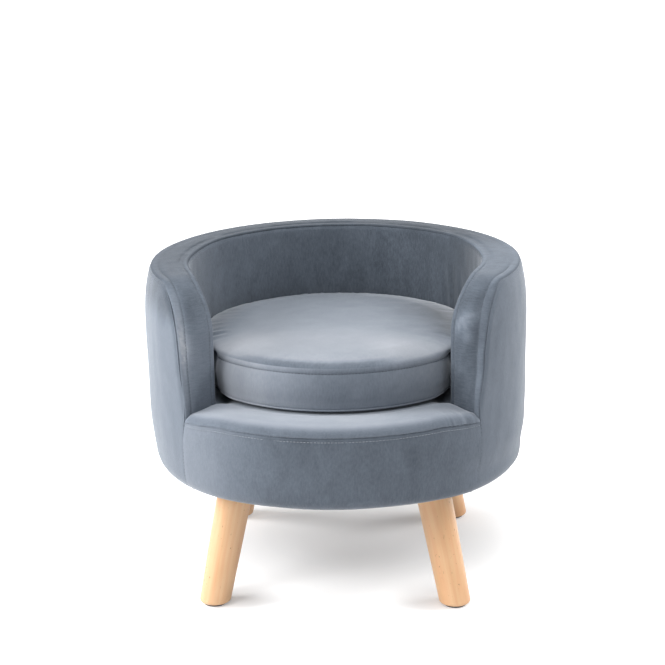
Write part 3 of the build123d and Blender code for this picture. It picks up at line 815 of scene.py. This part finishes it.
deck_rings = ([0.012 + 0.012 * i for i in range(15)] + [0.1880, 0.1925, 0.1955, 0.1975, 0.1990])
front_rings = [0.2040, 0.2090, 0.2140, 0.2190, 0.2240, 0.2290, 0.2330, 0.2360]
roll_steps = 8


def deck_corner(turn, radius, size):
    """How near a place is to the crevice between the deck, an arm's inner corner and the cushion."""
    return exp(-((turn - mouth_turn - 0.03) * crevice_line / size) ** 2 - ((radius - 0.186) / size) ** 2)


def deck_gather(angle, radius):
    """Small gathers over the deck's front edge by the right arm."""
    return uneven(angle * 66, radius * 22, 57.0) * rise(angle, 0.58, 0.70) * rise(radius, 0.222, 0.234)


def deck_spot(u, row):
    """A place on the deck: flat under the cushion, tucked in behind the wall, rolled over at the mouth."""
    angle = (u - 0.5) * 2 * pi
    edge = mouth_turn + 0.0005
    distance = (edge - abs(angle)) * mouth_line
    in_mouth = distance > -1e-9
    if row < len(deck_rings):
        radius = deck_rings[row]
        level = deck_level - 0.0004
        if not in_mouth:
            level -= 0.009 * exp(-((0.1995 - radius) / 0.0032) ** 2)
    elif not in_mouth:
        radius = 0.1994
        level = deck_level - 0.010 - 0.0004 * (row - len(deck_rings))
    elif row < len(deck_rings) + len(front_rings):
        radius = front_rings[row - len(deck_rings)]
        level = deck_level
    else:
        part = (row - len(deck_rings) - len(front_rings) + 1) / roll_steps
        bend = min(part, 1.0) * radians(64)
        radius = roll_middle + roll_bend * sin(bend)
        level = drum_top + roll_bend * cos(bend)
        if part > 1:
            radius -= 0.0022 * (part - 1) * roll_steps
            level -= 0.0006
    level -= 0.006 * deck_corner(abs(angle), radius, 0.014)
    level -= 0.0022 * (rise(radius, 0.200, 0.186) if in_mouth else 1)
    if in_mouth:
        level -= deck_drop(angle, radius)
    if in_mouth and radius > 0.225:
        level += 0.0010 * deck_gather(angle, radius)
    if in_mouth and radius > 0.19:
        level -= 0.0022 * exp(-(max(0.0, distance) / 0.0035) ** 2)
        level += 0.0005 * uneven(angle * 9, radius * 40, 51.0) * min(1.0, distance / 0.02)
        level += 0.0016 * exp(-((radius - 0.222) / 0.016) ** 2) * min(1.0, distance / 0.03)
    return around(pi - angle, radius, level)


def deck_light_and_shade(u, row):
    """Painted light and shade on the deck: lighter on its top, fading out over the front edge's roll, darker
    towards the right arm, and lighter and darker with the small gathers by the right arm. It is darker under
    the cushion, where the pile is pressed and shade falls, with painted shade in the crevices behind the
    arms' inner corners.
    """
    angle = (u - 0.5) * 2 * pi
    radius = (deck_rings + front_rings + [outside] * (roll_steps + 1))[row]
    level = 0.25 - 0.10 * rise(angle, 0.25, 0.75) * rise(angle, 1.8, 1.0) * rise(radius, 0.120, 0.185)
    level *= rise(row, len(deck_rings) + len(front_rings) + 5, len(deck_rings) + len(front_rings))
    behind = (abs(angle) - mouth_turn - 0.10) * crevice_line
    crevice = exp(-(behind / 0.030) ** 2 - ((radius - 0.181) / 0.024) ** 2)
    pressed = rise(radius, 0.190, 0.180)
    return level + 0.15 * deck_gather(angle, radius) - 0.26 * pressed - 0.34 * crevice


def make_deck():
    """The deck, laid in rings that are sewn into a disc and closed in the middle."""
    columns = 480
    rows = len(deck_rings) + len(front_rings) + roll_steps
    piece = new_cloth("deck", columns, rows)
    lay(piece, lambda u, v: deck_spot(u, round(v * rows)), width=1.40, height=0.26,
        nap_and_shade=lambda u, v: deck_light_and_shade(u, round(v * rows)))
    edit("SELECT")
    bpy.ops.mesh.remove_doubles(threshold=0.00002)
    bpy.ops.mesh.select_all(action="DESELECT")
    bpy.ops.mesh.select_non_manifold(extend=False)
    leave()
    for vertex in piece.data.vertices:
        if hypot(vertex.co.x, vertex.co.y) > deck_rings[1]:
            vertex.select = False
    for edge in piece.data.edges:
        edge.select = all(piece.data.vertices[i].select for i in edge.vertices)
    edit()
    bpy.ops.mesh.edge_face_add()
    leave()
    backed(piece, deck_padding)
    bpy.ops.object.shade_smooth_by_angle(angle=crisp_edge)
    return finished(piece, "bed", "velvet", velvet_cloth, "deck_cover", "seat_pad")


# Loose cushion: rings drawn out from a circle, filled at top and bottom, then blown up like cloth
ring_points = 224
crown_radius = 0.1500
crown_rise = 0.0012
cushion_middle = 0.30
top_rings = [(crown_radius, 0.3297), (0.1580, 0.3296), (0.1650, 0.3294), (0.1705, 0.3291), (0.1745, 0.3286),
             (0.1778, 0.3279), (0.1805, 0.3269), (0.1824, 0.3258), (0.1831, 0.3249)]
band_rings = [(0.1838, 0.3240), (0.1843, 0.3225), (0.1845, 0.3205), (0.1840, 0.3187), (0.1833, 0.3177),
              (0.1840, 0.3167), (0.1847, 0.3145), (0.1853, 0.3110), (0.1857, 0.3065),
              (0.1859, zip_level + zip_gap), (0.1860, zip_level), (0.1859, zip_level - zip_gap),
              (0.1857, 0.2890), (0.1853, 0.2845),
              (0.1850, 0.2814), (0.1849, 0.2795), (0.1848, 0.2780), (0.1846, 0.2764), (0.1844, 0.2750),
              (0.1842, 0.2737), (0.1839, 0.2726), (0.1832, 0.2718)]
bottom_rings = [(0.1839, 0.2709), (0.1839, 0.2699), (0.1827, 0.2690), (0.1800, 0.2680), (0.1760, 0.2671),
                (0.1715, 0.2666), (0.1640, 0.2663), (crown_radius, 0.2663)]
cushion_rings = top_rings + band_rings + bottom_rings
stitch_ring = 4
top_panel_from = 0.32491
under_panel_to = 0.27179
ruffled_from = 0.2705
ruffled_top_from = 0.3258
ruffled_edge = 0.1825
seams_from = 0.1815
top_slack = 0.0050
side_slack = 0.0016
stuffing_pressure = 4.0
swell_frames = 20
squeeze_depth = 0.011
squeeze_start = {-1: radians(51.0), 1: radians(50.5)}


def cushion_body():
    """The closed body of the cushion, drawn out ring by ring and filled at both ends."""
    nothing_selected()
    radius, level = cushion_rings[0]
    bpy.ops.mesh.primitive_circle_add(vertices=ring_points, radius=radius, location=(0, 0, 0))
    piece = bpy.context.active_object
    edit("SELECT")
    bpy.ops.transform.translate(value=(0, 0, level))
    for next_radius, next_level in cushion_rings[1:]:
        bpy.ops.mesh.extrude_region_move(TRANSFORM_OT_translate={"value": (0, 0, next_level - level)})
        grow = next_radius / radius
        bpy.ops.transform.resize(value=(grow, grow, 1), center_override=(0, 0, next_level))
        radius, level = next_radius, next_level
    bpy.ops.mesh.fill_grid(span=ring_points // 4)
    leave()
    for vertex in piece.data.vertices:
        vertex.select = vertex.index < ring_points
    for edge in piece.data.edges:
        edge.select = edge.vertices[0] < ring_points and edge.vertices[1] < ring_points
    for face in piece.data.polygons:
        face.select = False
    edit()
    bpy.ops.mesh.fill_grid(span=ring_points // 4)
    bpy.ops.mesh.select_all(action="SELECT")
    bpy.ops.mesh.normals_make_consistent(inside=False)
    leave()
    return piece


def slack_at(place):
    """How far the cushion's cloth may swell at a place: nothing at the seams, the stitches and the bottom."""
    radius = hypot(place.x, place.y)
    if place.z > 0.3285 or (radius < 0.1745 and place.z > cushion_middle):
        return top_slack * min(1.0, max(0.0, (0.1775 - radius) / 0.035)) + 0.0006
    if 0.2800 < place.z < 0.3150:
        return side_slack * min(1.0, (0.0175 - abs(place.z - zip_level)) / 0.008)
    return 0.0


def blow_up(piece):
    """Blows the cloth up as stuffing does, with each point held to its own slack."""
    mesh = piece.data
    rest = [v.co.copy() for v in mesh.vertices]
    room = [slack_at(p) for p in rest]
    held = piece.vertex_groups.new(name="sewn")
    for vertex, r in zip(mesh.vertices, room):
        held.add([vertex.index], 1.0 if r <= 0.0 else 0.0, "REPLACE")
    cloth = piece.modifiers.new("stuffing", "CLOTH")
    cloth.settings.quality = 6
    cloth.settings.mass = 0.2
    cloth.settings.tension_stiffness = 14
    cloth.settings.compression_stiffness = 14
    cloth.settings.shear_stiffness = 5
    cloth.settings.bending_stiffness = 0.4
    cloth.settings.vertex_group_mass = "sewn"
    cloth.settings.use_pressure = True
    cloth.settings.uniform_pressure_force = stuffing_pressure
    cloth.settings.shrink_min = -0.006
    cloth.settings.effector_weights.gravity = 0
    cloth.collision_settings.use_collision = False
    cloth.point_cache.frame_start = 1
    cloth.point_cache.frame_end = swell_frames
    for number in range(1, swell_frames + 1):
        bpy.context.scene.frame_set(number)
    shown = piece.evaluated_get(bpy.context.evaluated_depsgraph_get())
    swollen = [v.co.copy() for v in shown.data.vertices]
    piece.modifiers.remove(cloth)
    bpy.context.scene.frame_set(1)
    piece.vertex_groups.clear()
    for vertex, start, end, r in zip(mesh.vertices, rest, swollen, room):
        move = end - start
        if r > 0 and move.length > 1e-9:
            vertex.co = start + move.normalized() * r * tanh(move.length / r)


def flat_lines(piece, spread):
    """Lays the weave's lines on a piece: spread gives a spot of the flat cloth for each place."""
    mesh = piece.data
    lines = mesh.uv_layers[0] if mesh.uv_layers else mesh.uv_layers.new(name="weave")
    for face in mesh.polygons:
        for loop in face.loop_indices:
            lines.data[loop].uv = spread(mesh.vertices[mesh.loops[loop].vertex_index].co, face.center)


def flat_spread(place, middle):
    return place.x, place.y


def round_spread(place, middle):
    """The flat strip of a band, with each face kept whole where the strip begins and ends."""
    turn = Vector((middle.x, middle.y)).angle_signed(Vector((0, -1)))
    own = Vector((place.x, place.y)).angle_signed(Vector((0, -1)))
    if own - turn > pi:
        own -= 2 * pi
    if turn - own > pi:
        own += 2 * pi
    return own * cushion_edge, place.z


def beside_arm(place):
    """How far round from the front a place of the cushion lies, past where an arm first squeezes it."""
    turn = abs(Vector((place.x, place.y)).angle_signed(Vector((0, -1)), 0))
    return turn - squeeze_start[1 if place.x > 0 else -1]


def squeezed(place):
    """Draws the cushion's side in and its lower corner up where it squeezes past the arms. Its top stays
    wide."""
    radius = hypot(place.x, place.y)
    past = beside_arm(place)
    if radius < 0.08 or past > radians(78):
        return place
    draw = squeeze_depth * rise(past, radians(-1.5), radians(10.5)) * rise(past, radians(76), radians(40))
    draw *= rise(radius, 0.10, 0.175) * rise(place.z, 0.3300, 0.3190)
    lift = 0.0040 * exp(-((past - radians(2)) / radians(5)) ** 2) * rise(place.z, 0.300, 0.272)
    shrink = 1 - draw / radius
    return Vector((place.x * shrink, place.y * shrink, place.z + lift * rise(radius, 0.150, 0.180)))


def crease(place):
    """Short creases that run in over the cushion's top from the left arm."""
    depth = 0.0
    reach = place.x + 0.168
    for start, lean, amount, length in ((-0.050, 0.10, 1.0, 0.036), (-0.066, -0.06, 0.7, 0.028),
                                        (-0.036, 0.24, 0.4, 0.030)):
        across = place.y - start - lean * reach
        fade = rise(reach, length, length * 0.25)
        depth += amount * fade * exp(-(across / 0.0046) ** 2)
        depth -= 0.6 * amount * fade * exp(-((across - 0.009) / 0.005) ** 2)
    return -0.0019 * depth * rise(hypot(place.x, place.y), 0.182, 0.172)


def cushion_top_light_and_shade(place):
    """Painted light and shade on the cushion's top: lighter towards the front, most at its left and right
    front, with painted shade towards the right wall, by both arms and over the front of the rolled edge.
    """
    x, y, radius = place.x, place.y, hypot(place.x, place.y)
    level = 0.14 - 0.95 * y + 0.10 * exp(-((y + 0.085) / 0.055) ** 2)
    level += 0.16 * rise(-x, 0.05, 0.12) * exp(-((y + 0.105) / 0.04) ** 2)
    level += 0.22 * rise(x, 0.03, 0.08) * exp(-((y + 0.115) / 0.04) ** 2)
    level -= (0.20 + 0.06 * rise(y, 0.0, 0.06)) * rise(x, 0.03, 0.15)
    level -= 0.30 * rise(abs(x), 0.10, 0.17) * rise(y, -0.12, -0.05)
    front = rise(-y, 0.09, 0.15) * rise(x, 0.10, 0.05) * rise(-x, 0.17, 0.05)
    level -= 0.34 * rise(radius, 0.166, 0.177) * front
    return plain_nap + level * (0.6 + 0.4 * rise(radius, 0.1835, 0.1775))


def cushion_side_light_and_shade(place):
    """Painted light on the side's front, most on the left and low down, and painted shade in the gaps where
    it squeezes past the arms.
    """
    left = rise(-place.x, -0.02, 0.14) * rise(-place.y, 0.0, 0.08)
    right = rise(place.x, 0.05, 0.15) * rise(-place.y, 0.0, 0.08)
    low = rise(-place.z, -0.300, -0.270) * rise(-place.y, 0.0, 0.08)
    past = beside_arm(place)
    gap_shade = rise(past, radians(4.5), radians(8.5)) * rise(past, radians(95), radians(55))
    return plain_nap + 0.04 + (0.30 * left + 0.16 * right + 0.07 * low) * (1 - gap_shade) - 0.25 * gap_shade


def mark_panels(piece):
    """Marks each face with its panel: the top, the side or the underside."""
    for number in range(3):
        piece.data.materials.append(bpy.data.materials.new(f"panel_{number}"))
    for face in piece.data.polygons:
        level, inner = face.center.z, hypot(face.center.x, face.center.y) < 0.16
        over = level > top_panel_from or (inner and level > cushion_middle)
        under = level < under_panel_to or (inner and level < cushion_middle)
        face.material_index = 0 if over else 2 if under else 1


def ruffle(piece):
    """Gives the stuffed cushion puckered seams, an uneven top and the creases by the left arm."""
    for vertex in piece.data.vertices:
        place = vertex.co
        if place.z <= ruffled_from:
            continue
        radius = hypot(place.x, place.y)
        turn = Vector((place.x, place.y)).angle_signed(Vector((0, -1)), 0)
        near = 0.02
        if radius > seams_from:
            near = min(abs(place.z - cushion_stitch_level), abs(place.z - cushion_low_seam))
        push = 0.00022 * pucker(turn * cushion_edge + place.z, near, 0.005)
        if place.z > ruffled_top_from:
            edge = max(0.0, ruffled_edge - radius)
            push += 0.0006 * exp(-edge / 0.02) * uneven(turn * 22, 4.0, edge * 20)
            push += 0.0006 * uneven(place.x * 16, place.y * 16, 70.0)
            push += 0.0003 * uneven(place.x * 50, place.y * 50, 74.0) + crease(place)
        vertex.co = place + vertex.normal * push


def cut_zip_slot(side):
    """Cuts the slot for the zip out of the back of the cushion's side."""
    only(side)
    edit("DESELECT")
    bpy.ops.mesh.select_mode(type="FACE")
    leave()
    for face in side.data.polygons:
        turn = abs(Vector((face.center.x, face.center.y)).angle_signed(Vector((0, 1))))
        face.select = abs(face.center.z - zip_level) < zip_gap and turn < slot_reach
    edit()
    bpy.ops.mesh.delete(type="FACE")
    bpy.ops.mesh.select_mode(type="VERT")
    leave()


def make_cushion():
    """The cushion's top, side and underside, cut from one stuffed body."""
    piece = cushion_body()
    for vertex in piece.data.vertices:
        radius = hypot(vertex.co.x, vertex.co.y)
        if radius < crown_radius - 0.0001 and vertex.co.z > cushion_middle:
            vertex.co.z += crown_rise * (1 - (radius / crown_radius) ** 2)
    mark_panels(piece)
    blow_up(piece)
    ruffle(piece)
    for vertex in piece.data.vertices:
        vertex.co = squeezed(vertex.co)
    only(piece)
    edit("SELECT")
    bpy.ops.mesh.separate(type="MATERIAL")
    leave()
    panels = {}
    for part in list(bpy.context.selected_objects):
        middle = sum(v.co.z for v in part.data.vertices) / len(part.data.vertices)
        kind = "cushion_top" if middle > 0.32 else "cushion_under" if middle < 0.275 else "cushion_side"
        panels[kind] = part
    cut_zip_slot(panels["cushion_side"])
    held = {"cushion_top": ("cushion_top_cover", "cushion_wadding", "cushion_core"),
            "cushion_side": ("cushion_band",), "cushion_under": ("cushion_bottom_cover",)}
    for kind, part in panels.items():
        named(part, kind)
        flat_lines(part, round_spread if kind == "cushion_side" else flat_spread)
        nap_and_shade = cushion_top_light_and_shade if kind == "cushion_top" else cushion_side_light_and_shade
        paint_pile_and_shade(part, [nap_and_shade(v.co) for v in part.data.vertices])
        backed(part, cushion_padding)
        bpy.ops.object.shade_smooth_by_angle(angle=radians(60))
        finished(part, "cushion", "velvet", velvet_cloth, *held[kind])


# Rows of stitches, each a short thread that dips into the cloth
stitch_length = 0.0031
stitch_pitch = 0.0042
thread_radius = 0.00042
dot_length = 0.0015
dot_pitch = 0.0047
dot_radius = 0.0007


def soften(size):
    """Takes the edges off the active piece."""
    edit("SELECT")
    bpy.ops.mesh.bevel(offset=size, segments=1, affect="EDGES", clamp_overlap=True)
    leave()


def one_stitch(length, thick):
    nothing_selected()
    bpy.ops.mesh.primitive_cylinder_add(vertices=6, radius=thick, depth=length, rotation=(0, pi / 2, 0))
    stitch = bpy.context.active_object
    bpy.ops.object.transform_apply(location=True, rotation=True, scale=True)
    soften(0.0003)
    return stitch


def row_along(unit, points, pitch, closed=False):
    """Copies of one stitch or tooth along a line."""
    line = bpy.data.curves.new("seam_line", "CURVE")
    line.dimensions = "3D"
    run = line.splines.new("POLY")
    run.points.add(len(points) - 1)
    for point, place in zip(run.points, points):
        point.co = (*place, 1)
    run.use_cyclic_u = closed
    guide = bpy.data.objects.new("seam_line", line)
    bpy.context.scene.collection.objects.link(guide)
    ends = list(points) + ([points[0]] if closed else [])
    reach = sum((b - a).length for a, b in zip(ends, ends[1:]))
    count = int(reach / pitch)
    row = unit.modifiers.new("row", "ARRAY")
    row.count = count
    row.use_relative_offset = False
    row.use_constant_offset = True
    row.constant_offset_displace = (reach / count, 0, 0)
    follow = unit.modifiers.new("follow", "CURVE")
    follow.object = guide
    follow.deform_axis = "POS_X"
    apply_all(unit)
    bpy.data.objects.remove(guide)
    return unit


def stitch_row(points, closed=False, length=stitch_length, thick=thread_radius, pitch=stitch_pitch):
    return row_along(one_stitch(length, thick), points, pitch, closed)


def joined(name, parts):
    """Makes several parts one piece."""
    nothing_selected()
    for part in parts:
        part.select_set(True)
    bpy.context.view_layer.objects.active = parts[0]
    if len(parts) > 1:
        bpy.ops.object.join()
    return named(bpy.context.active_object, name)


def stitched(name, body, rows, material=stitch_thread):
    """All the rows of one seam as one piece."""
    piece = joined(name, rows)
    bpy.ops.object.shade_smooth()
    return finished(piece, body, "velvet", material)


def steps_between(low, high, count):
    return [low + (high - low) * i / count for i in range(count + 1)]


def make_stitches():
    """The stitches along the band's two edges, the deck's front, the drum's side seams and the cushion."""
    runs = steps_between(sewn_run - 0.02, band_half - 0.002, 150)
    for name, edge, distance, dip in (("rim_outer_stitches", "out", outer_stitch_in, -0.00055),
                                      ("rim_inner_stitches", "in", inner_stitch_in, -0.00050)):
        stitched(name, "bed", [stitch_row([band_place(side * r, edge, distance, dip) for r in runs])
                               for side in (-1, 1)])
    turns = steps_between(pi - mouth_turn + 0.004, pi + mouth_turn - 0.004, 80)
    stitched("deck_stitches", "bed", [stitch_row(
        [around(t, outside - 0.0004, deck_stitch_level - 0.97 * deck_drop(t - pi, outside)) for t in turns])],
        pale_thread)
    levels = steps_between(0.170, 0.250, 30)
    seam_turn = turn_at(seam_depth + 0.0004, outer_line)
    rows = []
    for side in (-1, 1):
        points = []
        for level in levels:
            turn = side * (seam_turn - seam_lean(level, side))
            points.append(around(turn, *filled(turn, side_radius(level) - 0.0006, level)))
        rows.append(stitch_row(points, length=dot_length, thick=dot_radius, pitch=dot_pitch))
    stitched("drum_seam_stitches", "bed", rows)
    radius, level = band_rings[stitch_ring]
    stitched("cushion_stitches", "cushion", [
        stitch_row([squeezed(around(2 * pi * i / 240, radius + 0.0002, level)) for i in range(240)], True)])


# Zip at the cushion's back: tapes, coil teeth and the stitches that hold it
tape_radius = 0.1827
tape_near = 0.0027
tape_height = 0.0110
tape_thickness = 0.0008
teeth_reach = radians(57.9)
teeth_radius = 0.18235
tooth_pitch = 0.0015
zip_stitch_away = 0.0072


def make_zip_tapes():
    """Two woven tapes behind the slot of the cushion's side, each with a corded edge along its teeth."""
    strips = []
    for side in (-1, 1):
        def tape_spot(u, v):
            radius = tape_radius + 0.0003 * exp(-(v * tape_height / 0.0009) ** 2) - 0.0003
            radius += 0.00012 * uneven(u * 60, v * 2, side * 3.0)
            away = side * (tape_near + tape_height * v)
            return around(side * zip_reach * (1 - 2 * u), radius, zip_level + away)

        strip = new_cloth("zip_tape", 160, 12)
        lay(strip, tape_spot, 2 * zip_reach * tape_radius, tape_height)
        backed(strip, tape_thickness - 0.0003)
        strips.append(strip)
    piece = joined("zip_tape_strips", strips)
    return finished(piece, "cushion", "zip_tape", zip_weave, "zip_tapes")


def one_tooth(side):
    """One turn of the nylon coil: a slanted bar with a head that reaches for its neighbour."""
    nothing_selected()
    bpy.ops.mesh.primitive_cube_add(size=1)
    tooth = bpy.context.active_object
    for vertex in tooth.data.vertices:
        x, y, z = vertex.co
        vertex.co = (x * 0.00105 + z * side * 0.0005, y * 0.0023, z * 0.0019 + side * 0.0017)
    soften(0.00034)
    return tooth


def make_zip_teeth():
    line = [around(t, teeth_radius, zip_level) for t in steps_between(-teeth_reach, teeth_reach, 120)]
    piece = joined("zip_teeth", [row_along(one_tooth(side), line, tooth_pitch) for side in (-1, 1)])
    bpy.ops.object.shade_smooth_by_angle(angle=crisp_edge)
    return finished(piece, "cushion", "zip_coil", zip_nylon, "zip_chain")


def make_zip_stitches():
    """A row of stitches above and below the zip's slot, on the swollen cloth of the cushion's side."""
    side = bpy.data.objects["cushion_side"]
    rows = []
    for away in (-zip_stitch_away, zip_stitch_away):
        points = []
        for turn in steps_between(-zip_reach, zip_reach, 120):
            start = around(turn, outside, zip_level + away)
            points.append(side.ray_cast(start, Vector((-start.x, -start.y, 0)).normalized())[1])
        rows.append(stitch_row(points))
    stitched("zip_stitches", "cushion", rows)


dust_radius = 0.2162
dust_level = 0.1556
dust_thickness = 0.0005
dust_points = 160
dust_held = 0.206
dust_sag = 0.0016
dust_ripple = 0.0009
leg_hole = 0.025
hole_below_top = 0.0028


def make_dust_cloth():
    """Black spun cloth stretched under the base, with a hole round each leg."""
    nothing_selected()
    bpy.ops.mesh.primitive_circle_add(vertices=dust_points, radius=dust_radius, location=(0, 0, dust_level))
    piece = named(bpy.context.active_object, "dust_cloth")
    bpy.ops.object.transform_apply(location=True)
    edit("SELECT")
    bpy.ops.mesh.fill_grid(span=dust_points // 4)
    leave()
    spread = leg_head + (leg_foot - leg_head) * hole_below_top / leg_length
    for x, y in (leg[1:3] for leg in legs):
        nothing_selected()
        bpy.ops.mesh.primitive_cylinder_add(vertices=48, radius=leg_hole, depth=0.05,
                                            location=(x * spread, y * spread, underside))
        hole = bpy.context.active_object
        only(piece)
        cut = piece.modifiers.new("leg_hole", "BOOLEAN")
        cut.operation = "DIFFERENCE"
        cut.object = hole
        bpy.ops.object.modifier_apply(modifier="leg_hole")
        bpy.data.objects.remove(hole)
    for vertex in piece.data.vertices:
        x, y, z = vertex.co
        loose = max(0.0, 1 - hypot(x, y) / dust_held)
        ripple = dust_ripple * uneven(x * 22, y * 22, 5.0)
        vertex.co.z = z - dust_sag * min(1.0, loose * 3) - ripple * min(1.0, loose * 4)
    flat_lines(piece, flat_spread)
    only(piece)
    bpy.ops.object.shade_smooth()
    layer = piece.modifiers.new("cloth", "SOLIDIFY")
    layer.thickness = dust_thickness
    layer.offset = 0
    apply_all(piece)
    return finished(piece, "bed", "dust_cloth", dust_black, "dust_cover")


make_outside_back()
make_inside_back()
make_rim_band()
make_drum_front()
make_deck()
make_cushion()
make_stitches()
make_zip_tapes()
make_zip_teeth()
make_zip_stitches()
make_dust_cloth()

# Camera where the photograph was taken from, with no shift
camera_distance, camera_rise, camera_turn = 2.49103, radians(18.45), radians(3.14)
bed_middle = Vector((0, 0, 0.2))
aim_turn, aim_rise, camera_roll = radians(0.13), radians(-2.65), radians(-1.06)
focal_pixels, frame_pixels, film_width = 1849.39, 665, 36


def heading(turn, climb):
    return Vector((sin(turn) * cos(climb), -cos(turn) * cos(climb), sin(climb)))


def make_camera():
    stand = bed_middle + heading(camera_turn, camera_rise) * camera_distance
    back = heading(camera_turn + aim_turn, camera_rise + aim_rise)
    level = Vector((0, 0, 1)).cross(back).normalized()
    upright = back.cross(level)
    right = level * cos(camera_roll) + upright * sin(camera_roll)
    up = upright * cos(camera_roll) - level * sin(camera_roll)
    bpy.ops.object.camera_add()
    camera = bpy.context.active_object
    camera.matrix_world = Matrix((
        (right.x, up.x, back.x, stand.x), (right.y, up.y, back.y, stand.y),
        (right.z, up.z, back.z, stand.z), (0, 0, 0, 1)))
    camera.data.sensor_width = film_width
    camera.data.lens = focal_pixels / frame_pixels * film_width
    bpy.context.scene.camera = camera


def lamp(name, place, target, size, power):
    """A round soft lamp that looks at a place."""
    bpy.ops.object.light_add(type="AREA", location=place)
    light = bpy.context.active_object
    light.name = name
    light.data.shape = "DISK"
    light.data.size = size
    light.data.energy = power
    aim = Vector(target) - Vector(place)
    light.rotation_euler = aim.to_track_quat("-Z", "Y").to_euler()


def seen_rays(nodes, links):
    """One for the rays that show the white surround: straight on, in a gloss or through something clear."""
    path = nodes.new("ShaderNodeLightPath").outputs
    shows = path["Is Camera Ray"]
    for ray in ("Is Glossy Ray", "Is Transmission Ray"):
        shows = reckoned(nodes, links, "MAXIMUM", shows, path[ray])
    return shows


def growing(nodes, links, place, middle, near, far, low, high):
    """A value that grows softly with the distance from a spot of the floor."""
    away = tuned(nodes, "ShaderNodeVectorMath", operation="DISTANCE")
    links.new(place, away.inputs[0])
    away.inputs[1].default_value = middle
    grown = tuned(nodes, "ShaderNodeMapRange", From_Min=near, From_Max=far, To_Min=low, To_Max=high,
                  interpolation_type="SMOOTHSTEP")
    links.new(away.outputs["Value"], grown.inputs["Value"])
    return grown.outputs["Result"]


def make_floor():
    """A pale floor that glows white all round and keeps its shade under the bed and by the front feet."""
    bpy.ops.mesh.primitive_plane_add(size=60)
    floor = bpy.context.active_object
    floor.name = "floor"
    material, nodes, links, skin = new_material("pale_floor")
    skin.inputs["Base Color"].default_value = (0.74, 0.74, 0.745, 1)
    skin.inputs["Roughness"].default_value = 0.85
    skin.inputs["Specular IOR Level"].default_value = 0.1
    place = nodes.new("ShaderNodeTexCoord").outputs["Object"]
    share = growing(nodes, links, place, (0.02, 0.09, 0), 0.07, 0.36, 0.15, 0.90)
    for side in (-1, 1):
        by_foot = growing(nodes, links, place, (side * 0.130, -0.148, 0), 0.010, 0.080, 0.35, 1.0)
        share = reckoned(nodes, links, "MULTIPLY", share, by_foot)
    glow = nodes.new("ShaderNodeEmission")
    links.new(reckoned(nodes, links, "MULTIPLY", share, seen_rays(nodes, links)), glow.inputs["Strength"])
    both = nodes.new("ShaderNodeAddShader")
    links.new(skin.outputs[0], both.inputs[0])
    links.new(glow.outputs[0], both.inputs[1])
    links.new(both.outputs[0], nodes["Material Output"].inputs["Surface"])
    floor.data.materials.append(material)


def make_surround():
    """A surround that is white where it shows and dimmer where it only lights the bed."""
    world = bpy.data.worlds.new("studio")
    bpy.context.scene.world = world
    world.use_nodes = True
    nodes, links = world.node_tree.nodes, world.node_tree.links
    white = tuned(nodes, "ShaderNodeBackground", Color=(1, 1, 1, 1), Strength=1.0)
    dim = nodes["Background"]
    dim.inputs["Color"].default_value = (1, 1, 1, 1)
    dim.inputs["Strength"].default_value = 0.32
    mixed = nodes.new("ShaderNodeMixShader")
    links.new(seen_rays(nodes, links), mixed.inputs[0])
    links.new(dim.outputs[0], mixed.inputs[1])
    links.new(white.outputs[0], mixed.inputs[2])
    links.new(mixed.outputs[0], nodes["World Output"].inputs["Surface"])


make_camera()
make_floor()
make_surround()
lamp("top_lamp", (-0.2, -0.9, 2.5), (0, 0, 0.2), 2.2, 36)
lamp("left_lamp", (-1.9, -1.7, 1.7), (0, 0, 0.25), 1.4, 30)
lamp("left_wall_lamp", (-2.3, 0.0, 1.3), (0, 0, 0.25), 1.4, 60)
lamp("right_wall_lamp", (2.2, 0.5, 1.6), (0, 0, 0.25), 1.4, 41)
bpy.context.scene.view_settings.view_transform = "Standard"
